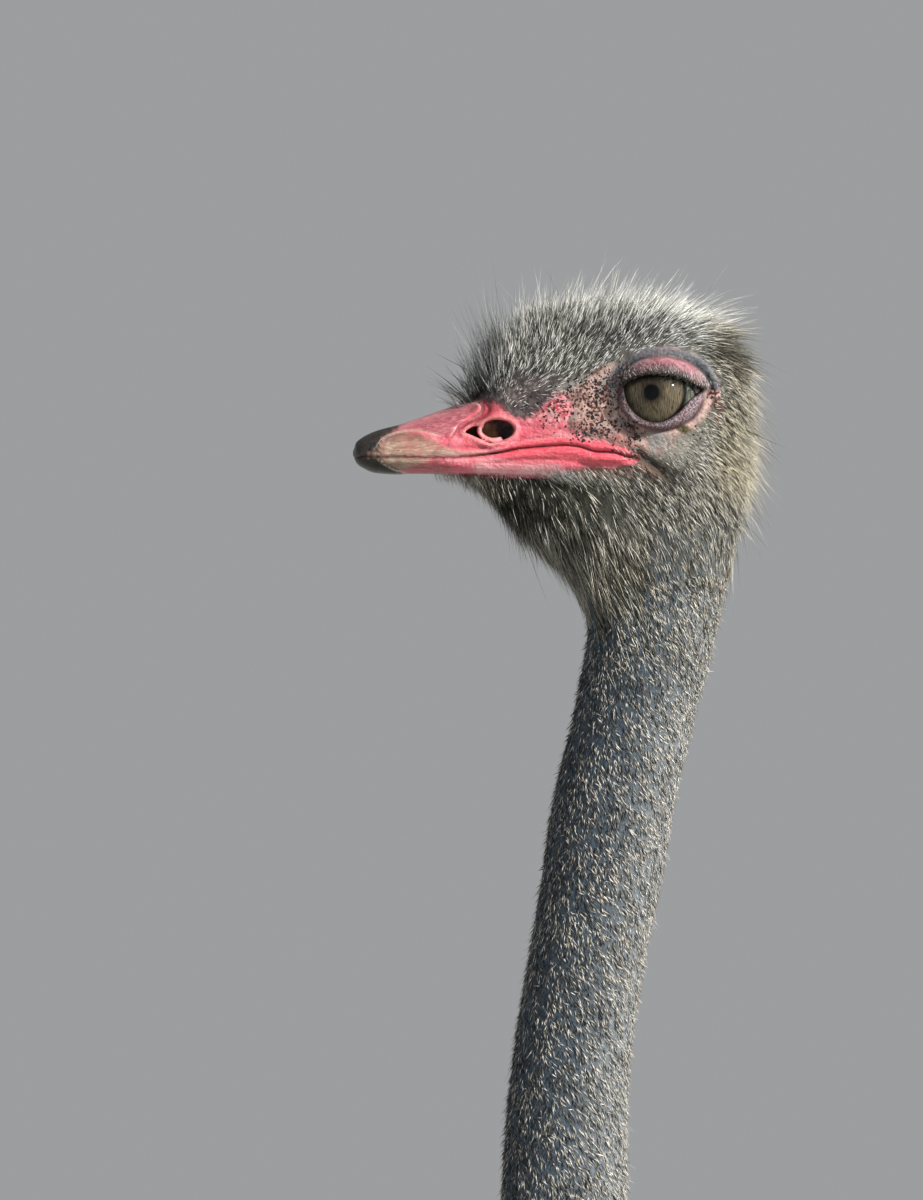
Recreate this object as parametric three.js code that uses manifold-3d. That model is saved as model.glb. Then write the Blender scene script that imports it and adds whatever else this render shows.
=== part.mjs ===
// Adult male ostrich, standing, life size. Millimetres, +Z up, the bird faces -Y and its left side is +X.
// The origin is on the ground, at the centre of the bird's outline seen from above.
// Every solid carries the plumage outline; the skin lies inside by the depth of the coat.
import * as THREE from "three";
import { mergeVertices } from "three/addons/utils/BufferGeometryUtils.js";
import Module from "manifold-3d";

const wasm = await Module();
wasm.setup();

// ---- driving dimensions ----
const SHIFT_Y = -61.8; // moves the whole bird so that its outline is centred on the origin
const EYE_HEIGHT = 2330; // centre of the eye above the ground
const TIP_Y = -590; // tip of the bill
const EYE_BACK = 143.6; // eye centre behind the tip of the bill
const EYE_X = 21.5, // centre of the eyeball off the midline
  EYE_R = 20; // visible radius of the eyeball
const LID = 2.6; // thickness of the eyelids
const EYE_OPEN = [15.8, 14.6]; // half width and half height of the lid opening
const GAPE_BACK = 136; // corner of the mouth behind the tip of the bill
const BILL_CUT = 95; // the horny bill ends here, behind its tip
const GAP = 0.4; // thin cut between neighbouring pieces
const NECK_CUTS = [2236, 1990, 1740, 1500]; // heights of the cuts along the neck
const ANKLE = 522; // height of the hock joint's cut
const FOOT_CUT = 84; // height of the cut between shank and toes
const STAGGER = 38; // the left foot stands this far forward, the right as far back
const FOOT_Y = 105; // toe joint behind the origin before the stagger

// ---- small tools ----
// Monotone cubic through the stations, so that outlines swell smoothly and never overshoot.
function curve(xs, ys) {
  const n = xs.length,
    d = [],
    m = new Array(n);
  for (let i = 0; i < n - 1; i++) d.push((ys[i + 1] - ys[i]) / (xs[i + 1] - xs[i]));
  m[0] = d[0];
  m[n - 1] = d[n - 2];
  for (let i = 1; i < n - 1; i++) {
    if (d[i - 1] * d[i] <= 0) m[i] = 0;
    else {
      const a = xs[i] - xs[i - 1],
        b = xs[i + 1] - xs[i];
      m[i] = (3 * (a + b)) / ((2 * b + a) / d[i - 1] + (b + 2 * a) / d[i]);
    }
  }
  return (x) => {
    if (x <= xs[0]) return ys[0];
    if (x >= xs[n - 1]) return ys[n - 1];
    let i = 0;
    while (x > xs[i + 1]) i++;
    const h = xs[i + 1] - xs[i],
      t = (x - xs[i]) / h;
    return (
      ys[i] * (1 + 2 * t) * (1 - t) * (1 - t) +
      h * m[i] * t * (1 - t) * (1 - t) +
      ys[i + 1] * t * t * (3 - 2 * t) +
      h * m[i + 1] * t * t * (t - 1)
    );
  };
}
// A table of stations as one curve for each column after the first.
const columns = (rows) =>
  rows[0].slice(1).map((_, k) => curve(rows.map((r) => r[0]), rows.map((r) => r[k + 1])));
const steps = (a, b, n) => Array.from({ length: n + 1 }, (_, i) => a + ((b - a) * i) / n);
const signed = (v, p) => Math.sign(v) * Math.abs(v) ** p;

function solid(geometry) {
  const g = geometry.index ? geometry.toNonIndexed() : geometry;
  const bare = new THREE.BufferGeometry().setAttribute("position", g.getAttribute("position"));
  const merged = mergeVertices(bare, 1e-3);
  const tri = new Uint32Array(merged.index.array);
  const keep = [];
  for (let i = 0; i < tri.length; i += 3)
    if (tri[i] !== tri[i + 1] && tri[i + 1] !== tri[i + 2] && tri[i] !== tri[i + 2]) keep.push(tri[i], tri[i + 1], tri[i + 2]);
  const p = merged.attributes.position.array;
  let v = 0;
  for (let i = 0; i < keep.length; i += 3) {
    const [a, b, c] = [0, 1, 2].map((k) => new THREE.Vector3().fromArray(p, keep[i + k] * 3));
    v += a.dot(b.cross(c));
  }
  if (v < 0) for (let i = 0; i < keep.length; i += 3) [keep[i + 1], keep[i + 2]] = [keep[i + 2], keep[i + 1]];
  return new wasm.Manifold(new wasm.Mesh({ numProp: 3, vertProperties: p, triVerts: new Uint32Array(keep) }));
}
// A closed skin over rings of points, with a point at the middle of each end.
function loft(rings) {
  const n = rings[0].length,
    pos = [];
  const add = (...v) => v.forEach((q) => pos.push(q[0], q[1], q[2]));
  for (let i = 0; i < rings.length - 1; i++)
    for (let j = 0; j < n; j++) {
      const k = (j + 1) % n,
        a = rings[i][j],
        b = rings[i][k],
        c = rings[i + 1][k],
        d = rings[i + 1][j];
      add(a, b, c, a, c, d);
    }
  for (const [ring, turn] of [
    [rings[0], 1],
    [rings[rings.length - 1], -1],
  ]) {
    const mid = [0, 1, 2].map((k) => ring.reduce((s, q) => s + q[k], 0) / n);
    for (let j = 0; j < n; j++) {
      const k = (j + 1) % n;
      turn > 0 ? add(mid, ring[k], ring[j]) : add(mid, ring[j], ring[k]);
    }
  }
  return solid(new THREE.BufferGeometry().setAttribute("position", new THREE.Float32BufferAttribute(pos, 3)));
}
// Rounded section in x and z at one y: different roundness above and below its widest level.
function section(y, w, top, wide, bottom, nTop, nBot, count) {
  return steps(0, 2 * Math.PI, count)
    .slice(0, count)
    .map((t) => {
      const c = Math.cos(t),
        s = Math.sin(t),
        n = s >= 0 ? nTop : nBot;
      return [w * signed(c, 2 / n), y, wide + (s >= 0 ? top - wide : wide - bottom) * signed(s, 2 / n)];
    });
}
// Rings square to a line that runs in a plane of constant x, or nearly so.
function tubeRings(points, count) {
  return points.map((p, i) => {
    const a = points[Math.max(0, i - 1)],
      b = points[Math.min(points.length - 1, i + 1)];
    const along = new THREE.Vector3(b.x - a.x, b.y - a.y, b.z - a.z).normalize();
    const side = new THREE.Vector3(1, 0, 0).addScaledVector(along, -along.x).normalize();
    const out = new THREE.Vector3().crossVectors(along, side);
    return steps(0, 2 * Math.PI, count)
      .slice(0, count)
      .map((t) => {
        const c = Math.cos(t) * p.rx,
          s = Math.sin(t) * p.ry;
        return [p.x + side.x * c + out.x * s, p.y + side.y * c + out.y * s, p.z + side.z * c + out.z * s];
      });
  });
}
const box = (x0, x1, y0, y1, z0, z1) =>
  solid(new THREE.BoxGeometry(x1 - x0, y1 - y0, z1 - z0).translate((x0 + x1) / 2, (y0 + y1) / 2, (z0 + z1) / 2));
const ball = (x, y, z, rx, ry, rz, w = 20, h = 14) =>
  solid(new THREE.SphereGeometry(1, w, h).rotateZ(Math.PI / 2).scale(rx, ry, rz).translate(x, y, z));
const biggest = (s) => s.decompose().sort((a, b) => b.volume() - a.volume())[0];

// ---- head: sections across the head, from the tip of the bill to the nape ----
// Columns: distance behind the bill's tip; top, widest level and underside above the eye's centre; half width; depth of the coat.
const HEAD = [
  [0.4, -23.5, -26.5, -28.5, 2.5, 0],
  [1.6, -21.6, -27.4, -30.5, 6.5, 0],
  [4.3, -19.2, -27.9, -32.6, 9.8, 0],
  [10.9, -16.0, -28.1, -35.2, 13.6, 0],
  [22.3, -12.9, -28.1, -35.9, 16.8, 0],
  [36.5, -8.1, -28.1, -35.9, 19.2, 0],
  [49.0, -3.6, -27.8, -36.1, 21.1, 0],
  [52.0, -2.5, -27.7, -36.2, 21.4, 6.0],
  [55.0, -0.8, -27.4, -36.4, 21.7, 22.0],
  [60.0, 6.0, -27.3, -36.6, 22.2, 27.0],
  [66.0, 15.0, -26.9, -37.0, 22.9, 26.0],
  [75.0, 28.0, -25.9, -37.6, 24.0, 16.0],
  [87.0, 36.2, -23.5, -38.4, 25.6, 9.0],
  [98.5, 39.6, -21.5, -40.5, 27.8, 6.5],
  [117.0, 41.2, -19.0, -46.0, 31.5, 5.5],
  [136.0, 41.8, -15.0, -51.0, 34.2, 5],
  [151.0, 41.0, -12.0, -53.0, 35.0, 5.5],
  [163.0, 37.4, -9.5, -52.5, 33.8, 7],
  [172.0, 30.5, -8.0, -50.0, 30.8, 9],
  [179.5, 20.0, -8.5, -44.0, 25.0, 11],
  [184.0, 7.0, -10.5, -34.0, 17.0, 14],
  [185.8, -4.0, -13.0, -24.0, 9.0, 12],
];
const [headTop, headWide, headBottom, headHalf, headCoat] = columns(HEAD);
const headY = (a) => TIP_Y + a;
function headSolid() {
  const at = [0.4, 1.8, 4.6, 11, 22, 36, 49, 52.2, 56, 64, 76, 90, 107, 126, 144, 158, 169, 177.5, 183, 185.8];
  return loft(
    at.map((a) => {
      const c = headCoat(a),
        sideCoat = a < 70 ? 0 : Math.min(3, (a - 70) * 0.06);
      const back = a > 170 ? 6 * ((a - 170) / 15.8) ** 2 : 0; // the coat also thickens the back of the head
      return section(
        headY(a + back),
        headHalf(a) + sideCoat,
        EYE_HEIGHT + headTop(a) + c,
        EYE_HEIGHT + headWide(a),
        EYE_HEIGHT + headBottom(a) - (a > 95 ? 2.5 : 0),
        a < 60 ? 1.75 : 2.15,
        2.3,
        16,
      );
    }),
  );
}
// Throat: the skin between the jaws, narrower than they are, running down into the neck.
// Columns: distance behind the bill's tip; underside above the eye's centre; half width.
const THROAT = [
  [46, -37.2, 5],
  [57.8, -40.5, 11],
  [69.7, -51.2, 15.5],
  [83.9, -64.3, 18.5],
  [98, -77.9, 21.5],
  [106.6, -91, 24],
  [116, -106, 28],
  [134, -116, 30.5],
];
const [throatBottom, throatHalf] = columns(THROAT);
function throatSolid() {
  const coat = 4.8;
  return loft(
    [46, 56, 67, 79, 91, 103, 113, 134].map((a) => {
      const top = EYE_HEIGHT - 30,
        bottom = EYE_HEIGHT + throatBottom(a) - coat;
      return section(headY(a), throatHalf(a) + 1, top, (top + bottom) / 2, bottom, 2.4, 2.2, 10);
    }),
  );
}
// ---- neck: an S from the head down to the breast ----
// Columns: height; y of the middle; radius over the down.
const NECK = [
  [1215, -262, 120],
  [1265, -330, 106],
  [1320, -392, 88],
  [1380, -437, 70],
  [1450, -466, 56],
  [1540, -483, 46],
  [1660, -491, 39],
  [1800, -492.5, 34],
  [1950, -490.2, 31],
  [1988, -488.9, 30],
  [2026, -485.5, 28.9],
  [2064, -479.5, 28.9],
  [2102, -472.4, 29.7],
  [2140, -466.4, 30.1],
  [2178, -457.3, 30.1],
  [2216, -449.0, 31.8],
  [2236, -446.6, 34.4],
  [2254, -444.5, 36.8],
  [2278, -440.5, 37.0],
  [2300, -438.5, 34.5],
  [2318, -439.0, 29.0],
];
const [neckY, neckR] = columns(NECK);
function neckSolid(grow = 0) {
  const hs = [...steps(1215, 1380, 4), ...steps(1450, 1900, 6), ...steps(1970, 2318, 11)];
  return loft(
    tubeRings(
      hs.map((z) => ({ x: 0, y: neckY(z), z, rx: neckR(z) * (z < 1400 ? 0.96 : 1 - 0.15 * Math.min(1, Math.max(0, (z - 2170) / 90))) + grow, ry: neckR(z) + grow })),
      16,
    ),
  );
}

// ---- trunk ----
// Columns: y; back; belly; half width.
const TRUNK = [
  [-478, 1262, 1180, 46],
  [-466, 1303, 1130, 84],
  [-430, 1352, 1062, 130],
  [-370, 1390, 1000, 172],
  [-280, 1412, 946, 208],
  [-150, 1428, 900, 240],
  [0, 1444, 872, 260],
  [150, 1448, 884, 264],
  [290, 1424, 934, 242],
  [400, 1368, 1006, 196],
  [470, 1304, 1076, 140],
  [512, 1248, 1140, 82],
  [526, 1216, 1172, 44],
];
const [trunkTop, trunkBottom, trunkHalf] = columns(TRUNK);
const TRUNK_AT = [-478, -466, -440, -400, -340, -250, -150, -50, 50, 150, 240, 320, 385, 435, 478, 508, 526];
const TRUNK_SEG = 21;
function trunkPoint(y, t, grow = 0) {
  const top = trunkTop(y) + grow,
    bottom = trunkBottom(y) - grow,
    wide = bottom + 0.47 * (top - bottom);
  const c = Math.cos(t),
    s = Math.sin(t),
    n = s >= 0 ? 2.15 : 2.25;
  return [(trunkHalf(y) + grow) * signed(c, 2 / n), y, wide + (s >= 0 ? top - wide : wide - bottom) * signed(s, 2 / n)];
}
function trunkSolid(grow = 0) {
  return loft(
    TRUNK_AT.map((y, i) => {
      const at = y + (i === 0 ? -grow : i === TRUNK_AT.length - 1 ? grow : 0);
      return steps(0, 2 * Math.PI, TRUNK_SEG)
        .slice(0, TRUNK_SEG)
        .map((t) => {
          const q = trunkPoint(y, t, grow);
          return [q[0], at, q[2]];
        });
    }),
  );
}
// ---- wing: a shell folded along the flank, and the white plumes that hang from its end ----
// Columns: y; upper and lower edge as turns round the trunk's section, in degrees from the side; thickness.
const WING = [
  [-330, 34, 6, 8],
  [-290, 44, -8, 24],
  [-200, 52, -22, 38],
  [-60, 55, -34, 46],
  [100, 54, -40, 48],
  [240, 50, -38, 44],
  [350, 40, -26, 34],
  [420, 22, -8, 12],
];
const [wingUp, wingDown, wingThick] = columns(WING);
function wingSolid(side, grow = 0) {
  const rad = Math.PI / 180;
  return loft(
    [-330, -305, -265, -190, -100, 0, 100, 190, 270, 340, 392, 420].map((y) => {
      const ts = steps(wingDown(y), wingUp(y), 6).map((d) => d * rad),
        ring = [];
      for (const t of ts) ring.push(trunkPoint(y, t, 6 - grow));
      ts.reverse().forEach((t, i) => {
        const bulge = Math.sin(((i + 0.5) / ts.length) * Math.PI) ** 0.6;
        ring.push(trunkPoint(y, t, 9 + grow + wingThick(y) * bulge));
      });
      return ring.map((q) => [q[0] * side, q[1], q[2]]);
    }),
  );
}
// A rounded body along a drooping line: sections square to the line.
function bundle(side, rows, count, grow = 0, rings = rows.length - 1) {
  const cols = columns(rows.map((r, i) => [i, ...r]));
  return loft(
    tubeRings(
      steps(0, rows.length - 1, rings).map((t) => {
        const [x, y, z, rx, ry] = cols.map((f) => f(t));
        return { x: x * side, y, z, rx: rx + grow, ry: ry + grow };
      }),
      count,
    ),
  );
}
// Plumes hang in overlapping lobes. A lobe droops from its root: out along its heading, then down.
function lobe(x, y, z, length, droop, out, width, thick, rings = 5, count = 8) {
  const half = curve([0, 0.25, 0.6, 0.88, 1], [0.42, 0.82, 1, 0.6, 0.12]);
  return loft(
    tubeRings(
      steps(0, 1, rings).map((t) => ({
        x: x + out * t,
        y: y + length * Math.sin(t * 1.35) * 0.78,
        z: z - droop * t * t,
        rx: thick * half(t),
        ry: width * half(t),
      })),
      count,
    ),
  );
}
// Wing plumes: root x, y, z; reach to the rear; drop; swing outwards; half width; half thickness.
const WING_PLUMES = [
  [268, 40, 1090, 190, 200, 22, 66, 30],
  [276, 110, 1110, 240, 270, 12, 80, 38],
  [270, 200, 1130, 250, 290, -6, 84, 40],
  [256, 290, 1150, 210, 250, -22, 76, 36],
];
// Tail plumes: root x, y, z; reach to the rear; drop; swing outwards; half thickness up and down; half width.
const TAIL = [
  [0, 400, 1296, 390, 150, 0, 62, 92],
  [46, 395, 1284, 400, 250, 34, 62, 84],
  [70, 390, 1262, 370, 330, 44, 56, 70],
];

// ---- leg ----
// Columns: x, y, z of the middle; half width; half depth fore and aft.
const LEG = [
  [118, -28, 1040, 58, 116],
  [124, 0, 950, 62, 106],
  [128, 40, 865, 57, 88],
  [126, 78, 780, 46, 64],
  [121, 106, 700, 36, 46],
  [115, 130, 625, 28, 34],
  [110, 146, 568, 27, 31],
  [108, 152, 528, 30, 35],
  [106, 149, 492, 27, 32],
  [104, 140, 450, 19.5, 25],
  [102, 122, 380, 16.8, 22],
  [100, 98, 280, 16.4, 21],
  [98, 78, 190, 17.6, 21.5],
  [97, 66, 126, 21.5, 24],
  [96, 58, 82, 25, 29],
  [96, 54, 50, 24, 28],
];
function legSolid(side, shift) {
  // the foot moves fore and aft while the top of the leg stays in the flank
  const rows = LEG.map(([x, y, z, rx, ry]) => {
    const k = Math.min(1, Math.max(0, (1040 - z) / 900));
    return [x, y + (FOOT_Y - 68) + shift * k, z, rx, ry];
  });
  return bundle(side, rows, 12);
}
// Columns: distance along the toe from its joint; half width; height of its back.
const TOE_INNER = [
  [-40, 8, 22],
  [-34, 17, 36],
  [-18, 25, 58],
  [6, 29, 72],
  [30, 29, 66],
  [58, 26.5, 52],
  [84, 24.5, 42],
  [108, 27, 42],
  [132, 26, 38],
  [152, 21, 31],
  [166, 13, 22],
  [171, 6, 16],
];
const TOE_OUTER = [
  [-18, 10, 30],
  [-8, 17, 40],
  [14, 21, 46],
  [40, 20, 37],
  [62, 19, 32],
  [84, 19, 30],
  [102, 14.5, 23],
  [113, 8, 16],
  [117, 4, 12],
];
function toeSolid(rows, side, x, y, degrees, grow = 0) {
  const [half, top] = columns(rows),
    first = rows[0][0],
    last = rows[rows.length - 1][0];
  const a = (degrees * Math.PI) / 180,
    rings = steps(first, last, 9).map((s) =>
      section(0, half(s) + grow, top(s) + grow, Math.min(16, top(s) * 0.42), -6, 2.2, 3.2, 10).map(([u, , z]) => [
        side * (x + u * Math.cos(a) + s * Math.sin(a)),
        y - s * Math.cos(a) + u * Math.sin(a),
        z,
      ]),
    );
  return loft(rings);
}
const CLAW = [
  [138, 12, 27, 11],
  [152, 13, 29, 7],
  [170, 11.5, 25, 3.4],
  [188, 8.5, 18.5, 1.6],
  [202, 5, 12, 1.2],
  [211, 2, 6.5, 1.4],
];
function clawSolid(side, x, y, grow = 0) {
  const [half, top, bottom] = columns(CLAW);
  return loft(
    steps(138, 211, 5).map((s) =>
      section(y - s, half(s) + grow, top(s) + grow, bottom(s) + 0.35 * (top(s) - bottom(s)), bottom(s) - grow, 2.1, 2.6, 8).map(([u, v, z]) => [
        side * (x + u),
        v,
        z,
      ]),
    ),
  );
}

// ---- build ----
const colours = {
  grey_down: [0x8f9290, 0.9],
  pink_bill: [0xd9727f, 0.55],
  eye: [0x5a4a35, 0.12],
  black_plumage: [0x17161a, 0.92],
  white_plume: [0xe6e2d8, 0.95],
  tail_plume: [0xcdbfa6, 0.95],
  leg_skin: [0xa98f88, 0.7],
  scute_red: [0xb86a5e, 0.6],
  claw_horn: [0x4b453f, 0.5],
};
const material = (slot) =>
  new THREE.MeshStandardMaterial({ name: slot, color: colours[slot][0], roughness: colours[slot][1], metalness: 0 });
const root = new THREE.Group();
root.position.y = SHIFT_Y;
function place(name, manifold, slot) {
  const m = manifold.getMesh(),
    n = m.numProp,
    pos = new Float32Array(m.numVert * 3);
  for (let i = 0; i < m.numVert; i++) pos.set(m.vertProperties.subarray(i * n, i * n + 3), i * 3);
  const g = new THREE.BufferGeometry().setAttribute("position", new THREE.BufferAttribute(pos, 3));
  g.setIndex(new THREE.BufferAttribute(m.triVerts, 1));
  g.computeVertexNormals();
  const mesh = new THREE.Mesh(g, material(slot));
  mesh.name = name;
  root.add(mesh);
}

const trunk = trunkSolid();
const trunkGrown = trunkSolid(GAP);
place("trunk", trunk, "black_plumage");

// head and neck, made whole and parted with thin cuts
const eyeY = headY(EYE_BACK),
  both = [1, -1];
let bust = headSolid().add(throatSolid()).add(neckSolid());
for (const s of both) bust = bust.add(ball(s * EYE_X, eyeY, EYE_HEIGHT, EYE_R + LID, EYE_R + LID, EYE_R + LID * 0.8, 16, 10));
for (const s of both) {
  // the opening between the lids, and the socket
  const open = solid(
    new THREE.CylinderGeometry(1, 1, 30, 14)
      .rotateZ(Math.PI / 2)
      .scale(1, EYE_OPEN[0], EYE_OPEN[1])
      .rotateX(-0.2)
      .translate(s * (EYE_X + 24), eyeY, EYE_HEIGHT - 0.8),
  );
  bust = bust.subtract(open).subtract(ball(s * EYE_X, eyeY, EYE_HEIGHT, EYE_R + 0.6, EYE_R + 0.6, EYE_R + 0.6, 14, 8));
  // nostril
  bust = bust.subtract(ball(s * 20.5, headY(65), EYE_HEIGHT - 16.2, 8, 11.4, 5.2, 10, 6));
}
// Mouth: a thin cut along the line where the bills meet, and a groove on to the corner of the mouth.
const mouth = curve([-4, 50, 62, 76, 92, 102, 112, 122, GAPE_BACK], [-28.1, -28.1, -27.4, -25.9, -23.3, -22.8, -24.2, -26.4, -29.6]);
function mouthPlate(a0, a1, x0, x1, thick) {
  const shape = new THREE.Shape(),
    as = steps(a0, a1, 4);
  as.forEach((a, i) => (i ? shape.lineTo(a, mouth(a) + thick / 2) : shape.moveTo(a, mouth(a) + thick / 2)));
  [...as].reverse().forEach((a) => shape.lineTo(a, mouth(a) - thick / 2));
  const g = new THREE.ExtrudeGeometry(shape, { depth: x1 - x0, bevelEnabled: false });
  // shape x is along the head, shape y is up, the extrusion runs across
  g.applyMatrix4(new THREE.Matrix4().set(0, 0, 1, x0, 1, 0, 0, TIP_Y, 0, 1, 0, EYE_HEIGHT, 0, 0, 0, 1));
  return solid(g);
}
bust = bust.subtract(mouthPlate(-4, BILL_CUT + GAP, -40, 40, GAP));
for (const s of both) bust = bust.subtract(mouthPlate(BILL_CUT, GAPE_BACK, s > 0 ? 22 : -50, s > 0 ? 50 : -22, 1.0));
const billCut = box(-60, 60, headY(BILL_CUT), headY(BILL_CUT) + GAP, EYE_HEIGHT - 37.6, EYE_HEIGHT + 12);
// the upper and lower bills are what lies in front of the cut, between forehead and throat
const billZone = (z0, z1) => box(-60, 60, TIP_Y - 10, headY(BILL_CUT), z0, z1);
const foreheadCut = loft(
  // a thin slanting plate between the bill and the feathered forehead
  [-60, 60].map((x) => [
    [x, headY(50), EYE_HEIGHT - 3.2 + 1.5],
    [x, headY(BILL_CUT) + GAP, EYE_HEIGHT + 2],
    [x, headY(BILL_CUT) + GAP, EYE_HEIGHT + 2 + GAP],
    [x, headY(50) - 12, EYE_HEIGHT - 3.2 + 1.5 + GAP],
    [x, headY(50) - 12, EYE_HEIGHT - 3.2 + 1.5],
  ]),
);
const throatCut = loft(
  [-60, 60].map((x) => [
    [x, headY(44), EYE_HEIGHT - 36.6],
    [x, headY(BILL_CUT) + GAP, EYE_HEIGHT - 38.6],
    [x, headY(BILL_CUT) + GAP, EYE_HEIGHT - 38.6 - GAP],
    [x, headY(44), EYE_HEIGHT - 36.6 - GAP],
  ]),
);
const jawWedge = loft(
  // everything in front of the cut and below the jaw line
  [-60, 60].map((x) => [
    [x, headY(44), EYE_HEIGHT - 36.8],
    [x, headY(BILL_CUT), EYE_HEIGHT - 38.8],
    [x, headY(BILL_CUT), EYE_HEIGHT - 140],
    [x, headY(44), EYE_HEIGHT - 140],
  ]),
);
const browWedge = loft(
  // everything in front of the cut and above the bill's ridge
  [-60, 60].map((x) => [
    [x, headY(50) - 12, EYE_HEIGHT - 1.6],
    [x, headY(BILL_CUT), EYE_HEIGHT + 2.2],
    [x, headY(BILL_CUT), EYE_HEIGHT + 60],
    [x, headY(50) - 12, EYE_HEIGHT + 60],
  ]),
);
const slab = (z0, z1) => box(-300, 300, -700, 100, z0, z1);
let front = bust.intersect(billZone(EYE_HEIGHT - 140, EYE_HEIGHT + 60));
const bill = front.subtract(jawWedge).subtract(browWedge);
const pieces = bill.decompose().sort((a, b) => b.volume() - a.volume());
const upper = pieces.filter((p) => p.boundingBox().max[2] > EYE_HEIGHT - 20)[0];
const lower = pieces.filter((p) => p.boundingBox().max[2] <= EYE_HEIGHT - 20)[0];
place("upper_bill", upper, "pink_bill");
place("lower_bill", lower, "pink_bill");
// the rest of the bust, less the bill zone and its thin cuts
const taken = billZone(EYE_HEIGHT - 140, EYE_HEIGHT + 60)
  .subtract(jawWedge)
  .subtract(browWedge);
let rest = bust.subtract(taken).subtract(billCut).subtract(foreheadCut).subtract(throatCut);
place("head", biggest(rest.intersect(slab(NECK_CUTS[0] + GAP, 2600))), "grey_down");
const neckNames = ["neck_upper", "neck_middle_upper", "neck_middle_lower", "neck_base"];
const neckWhole = rest.subtract(trunkGrown);
neckNames.forEach((name, i) => {
  const z1 = NECK_CUTS[i],
    z0 = i < 3 ? NECK_CUTS[i + 1] + GAP : 1000;
  place(name, biggest(neckWhole.intersect(slab(z0, z1))), "grey_down");
});
for (const s of both)
  place(s > 0 ? "eye_left" : "eye_right", ball(s * EYE_X, eyeY, EYE_HEIGHT, EYE_R, EYE_R, EYE_R, 14, 8), "eye");

// wings, plumes and tail
for (const s of both) {
  const side = s > 0 ? "left" : "right";
  place("wing_" + side, wingSolid(s), "black_plumage");
  let plumes = lobe(s * WING_PLUMES[0][0], ...WING_PLUMES[0].slice(1, 5), s * WING_PLUMES[0][5], ...WING_PLUMES[0].slice(6));
  for (const [x, y, z, reach, drop, out, wide, thick] of WING_PLUMES.slice(1)) plumes = plumes.add(lobe(s * x, y, z, reach, drop, s * out, wide, thick));
  place("plumes_" + side, biggest(plumes.subtract(wingSolid(s, GAP)).subtract(trunkGrown)), "white_plume");
}
let tail = lobe(...TAIL[0]);
for (const [x, y, z, reach, drop, out, high, wide] of TAIL.slice(1))
  for (const s of both) tail = tail.add(lobe(s * x, y, z, reach, drop, s * out, high, wide));
place("tail", biggest(tail.subtract(trunkGrown)), "tail_plume");

// legs, made whole and parted with thin cuts
for (const s of both) {
  const side = s > 0 ? "left" : "right",
    shift = s > 0 ? -STAGGER : STAGGER,
    fx = 96,
    fy = FOOT_Y - 14 + shift;
  const big = toeSolid(TOE_INNER, s, fx - 6, fy, 3),
    small = toeSolid(TOE_OUTER, s, fx + 16, fy - 4, 27);
  const ground = box(-500, 500, -500, 600, 0, 1300);
  const leg = legSolid(s, shift);
  const high = box(-500, 500, -500, 600, ANKLE + GAP, 1300),
    mid = box(-500, 500, -500, 600, FOOT_CUT + GAP, ANKLE),
    low = box(-500, 500, -500, 600, 0, FOOT_CUT);
  place("drumstick_" + side, biggest(leg.subtract(trunkGrown).intersect(high)), "leg_skin");
  place("shank_" + side, biggest(leg.intersect(mid)), "scute_red");
  const foot = leg.intersect(low).add(big).intersect(ground);
  const claw = biggest(clawSolid(s, fx + 2.4, fy).subtract(toeSolid(TOE_INNER, s, fx - 6, fy, 3, GAP)));
  place("toe_inner_" + side, biggest(foot), "scute_red");
  const footGrown = toeSolid(TOE_INNER, s, fx - 6, fy, 3, GAP)
    .add(bundle(s, LEG.slice(-3).map(([x, y, z, rx, ry]) => [x, y + (FOOT_Y - 68) + shift * Math.min(1, (1040 - z) / 900), z, rx + GAP, ry + GAP]), 12));
  place("toe_outer_" + side, biggest(small.subtract(footGrown).intersect(ground)), "scute_red");
  place("claw_" + side, claw, "claw_horn");
}

export default root;
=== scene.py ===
import bpy
import math
import numpy as np
import openvdb as vdb
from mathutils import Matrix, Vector


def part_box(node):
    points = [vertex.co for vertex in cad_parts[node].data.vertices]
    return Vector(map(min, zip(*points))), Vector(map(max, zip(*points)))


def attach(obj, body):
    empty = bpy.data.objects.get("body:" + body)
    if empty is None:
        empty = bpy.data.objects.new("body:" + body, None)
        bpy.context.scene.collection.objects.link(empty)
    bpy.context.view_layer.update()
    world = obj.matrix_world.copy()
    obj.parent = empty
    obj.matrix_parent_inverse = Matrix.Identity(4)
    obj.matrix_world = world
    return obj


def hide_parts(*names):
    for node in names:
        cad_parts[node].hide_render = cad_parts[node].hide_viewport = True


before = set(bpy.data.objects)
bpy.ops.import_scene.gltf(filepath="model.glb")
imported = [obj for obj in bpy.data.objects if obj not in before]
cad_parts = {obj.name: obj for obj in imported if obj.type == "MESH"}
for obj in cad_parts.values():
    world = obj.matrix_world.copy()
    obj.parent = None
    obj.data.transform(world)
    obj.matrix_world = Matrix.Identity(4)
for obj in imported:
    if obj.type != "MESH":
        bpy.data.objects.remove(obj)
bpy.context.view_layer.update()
F = np.float32
MM = 0.001

# ---------------------------------------------------------------- places, from the frame
lo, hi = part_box("eye_left")
EYE_Y = (lo[1] + hi[1]) / 2 / MM  # eye centre, millimetres
EYE_Z = (lo[2] + hi[2]) / 2 / MM
EYE_BACK = 143.6
EYE_X = 21.5
EYE_R = 20.0
TIP_Y = EYE_Y - EYE_BACK
SH = TIP_Y + 590.0  # the whole bird's shift along Y


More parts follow.
